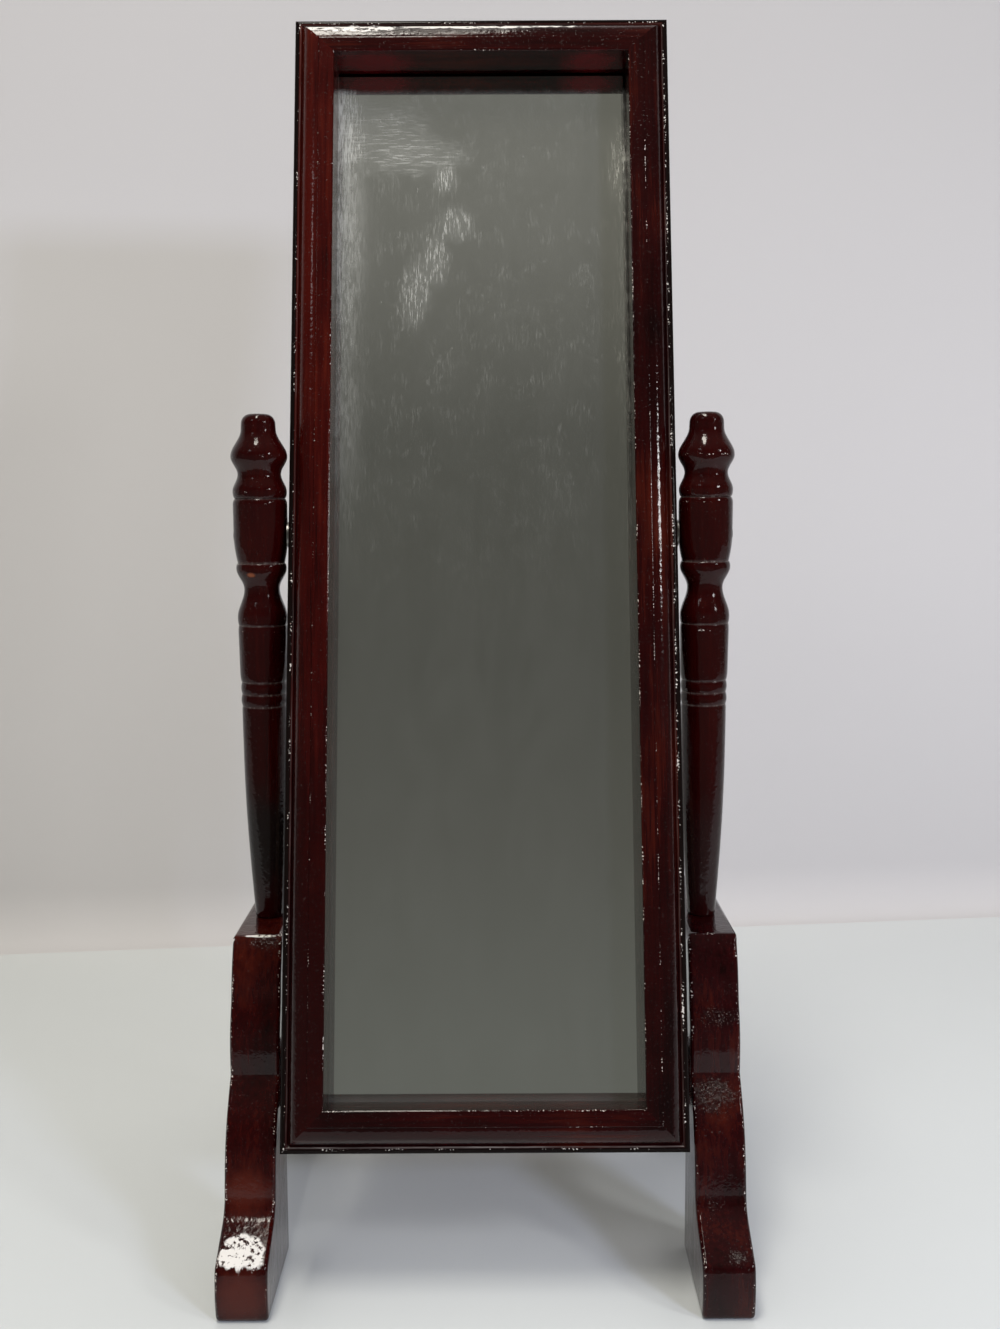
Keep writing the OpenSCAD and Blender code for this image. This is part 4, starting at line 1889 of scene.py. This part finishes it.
@dataclass
class Studio:
    """Pale table, pale wall and soft lamps.

    Attributes:
        wall_y: Distance of the wall behind the mirror's middle; sizes in metres.
        wall_foot: Reach and height of the curve at the wall's foot.
        wall_height: Height of the wall.
        wall_half: Half the width of the wall.
        wall_turn: How far the wall is turned about the upright axis, in degrees.
        table_width: Width of the table.
        table_front: Front edge of the table.
        table_rear: Rear edge of the table.
        room: What gloss and glass mirror of the room, from floor to ceiling.
        soft: Light of the room on matt surfaces, from the sides to the ceiling.
    """

    wall_y: float = 0.476
    wall_foot: Point = (0.030, 0.045)
    wall_height: float = 3.2
    wall_half: float = 3.0
    wall_turn: float = 6.1
    table_width: float = 4.0
    table_front: float = -0.42
    table_rear: float = 0.9
    room: tuple[tuple[float, Colour], ...] = (
        (0.0, (0.135, 0.138, 0.125)),
        (0.08, (0.120, 0.122, 0.110)),
        (0.23, (0.086, 0.085, 0.075)),
        (0.36, (0.070, 0.069, 0.060)),
        (0.50, (0.071, 0.070, 0.060)),
        (0.60, (0.118, 0.115, 0.100)),
        (0.72, (0.150, 0.147, 0.128)),
        (1.0, (0.20, 0.20, 0.18)),
    )
    soft: tuple[tuple[float, Colour], ...] = (
        (0.45, (0.71, 0.695, 0.65)),
        (0.80, (0.40, 0.39, 0.36)),
    )

    def lamps(self) -> list[Lamp]:
        """The lamps round the mirror.

        Returns:
            The lamps.
        """
        aim = (0.0, 0.0, 0.3)
        warm, cool, blue = (1.0, 0.955, 0.86), (0.97, 0.98, 1.0), (0.68, 0.74, 1.0)
        long, panel = (-0.22, -0.30), (-0.235, -0.50)
        square, slit = (0.22, 0.22), (0.22, 0.11)
        return [
            Lamp("overhead_lamp", (*long, 2.0), (*long, 0.0), (0.35, 1.4), 6.6, warm),
            Lamp("ceiling_panel", (*panel, 1.99), (*panel, 0.0), (0.32, 0.6), 13.5, warm),
            Lamp("right_lamp", (1.30, -1.0, 1.0), aim, square, 5.4),
            Lamp("left_window", (-1.1, -1.5, 1.75), aim, square, 0.8, cool),
            Lamp("daylight", (0.93, -1.30, 0.695), (0.0, 0.2, 0.45), slit, 11.0, blue, False),
        ]

    def surroundings(self) -> None:
        """Makes the dim room that the gloss and the mirror reflect, brighter overhead."""
        world = bpy.data.worlds.new("room")
        bpy.context.scene.world = world
        world.use_nodes = True
        g = Graph(world.node_tree)
        _, _, up = g.parts(g.node("ShaderNodeTexCoord", output="Generated"))
        matt = g.node("ShaderNodeLightPath", output="Is Diffuse Ray")
        light = g.mix(matt, g.ramp(up, *self.room), g.ramp(up, *self.soft))
        shader = g.node("ShaderNodeBackground", inputs={"Color": light})
        g.node("ShaderNodeOutputWorld", inputs={"Surface": shader})

    def table(self) -> bpy.types.Object:
        """Adds the table.

        Returns:
            The table.
        """
        Bench.clear_selection()
        bpy.ops.mesh.primitive_plane_add(size=1.0, location=(0, 0, 0))
        table = bpy.context.object
        table.name = "table"
        table.scale = (self.table_width, self.table_rear - self.table_front, 1.0)
        table.location = (0.0, (self.table_rear + self.table_front) / 2, 0.0)
        table.data.materials.append(StagePaint("table_paint", (0.68, 0.71, 0.715), 0.22).build())
        return table

    def backdrop(self) -> bpy.types.Object:
        """Adds the sheet behind the mirror, which curves forward at its foot.

        Returns:
            The sheet, which faces forward and is clear from behind.
        """
        out, up = self.wall_foot
        sweep = rounded((self.wall_y - out, 0.0), (self.wall_y, up))
        sweep.append((self.wall_y, self.wall_height))
        wall = Bench.line("wall", [Vector((-self.wall_half, y, z)) for y, z in sweep])
        Bench.extrude(wall, Vector((2 * self.wall_half, 0, 0)))
        Bench.outward(wall)
        if wall.data.polygons[0].normal.y > 0:
            wall.data.flip_normals()
        bpy.ops.object.shade_smooth()
        wall.rotation_euler = (0, 0, math.radians(self.wall_turn))
        paint = StagePaint("wall_paint", (0.60, 0.585, 0.59), 0.85, painted_shade_above=0.22, one_sided=True)
        wall.data.materials.append(paint.build())
        return wall

    def build(self) -> None:
        """Adds the table, the wall, the lamps and the room."""
        self.table()
        self.backdrop()
        for lamp in self.lamps():
            lamp.build()
        self.surroundings()


@dataclass
class PhotoCamera:
    """The camera, at the photograph's place and angle.

    Attributes:
        place: Its place, in metres.
        down: How far it looks down, in degrees.
        roll: How far it is rolled, in degrees.
        lens: Focal length, in millimetres.
        sensor: Length of the sensor's longer side, in millimetres.
    """

    place: Place = (0.008, -0.7094, 0.3667)
    down: float = 6.55
    roll: float = -0.28
    lens: float = 37.77
    sensor: float = 36.0

    def build(self) -> None:
        """Adds the camera and makes it the scene's own."""
        data = bpy.data.cameras.new("photo_camera")
        data.sensor_fit = "AUTO"
        data.sensor_width = self.sensor
        data.lens = self.lens
        camera = bpy.data.objects.new("photo_camera", data)
        look = Matrix.Rotation(math.radians(90.0 - self.down), 4, "X")
        roll = Matrix.Rotation(math.radians(self.roll), 4, "Z")
        camera.matrix_world = Matrix.Translation(self.place) @ look @ roll
        bpy.context.scene.collection.objects.link(camera)
        bpy.context.scene.camera = camera


def main() -> None:
    """Builds the camera, the stage and every piece of the mirror."""
    logging.basicConfig(level=logging.INFO, format="%(message)s")
    bpy.context.scene.view_settings.view_transform = "Standard"
    PhotoCamera().build()
    Studio().build()
    Stand().build()
    TiltingFrame().build()


if __name__ == "__main__":
    main()
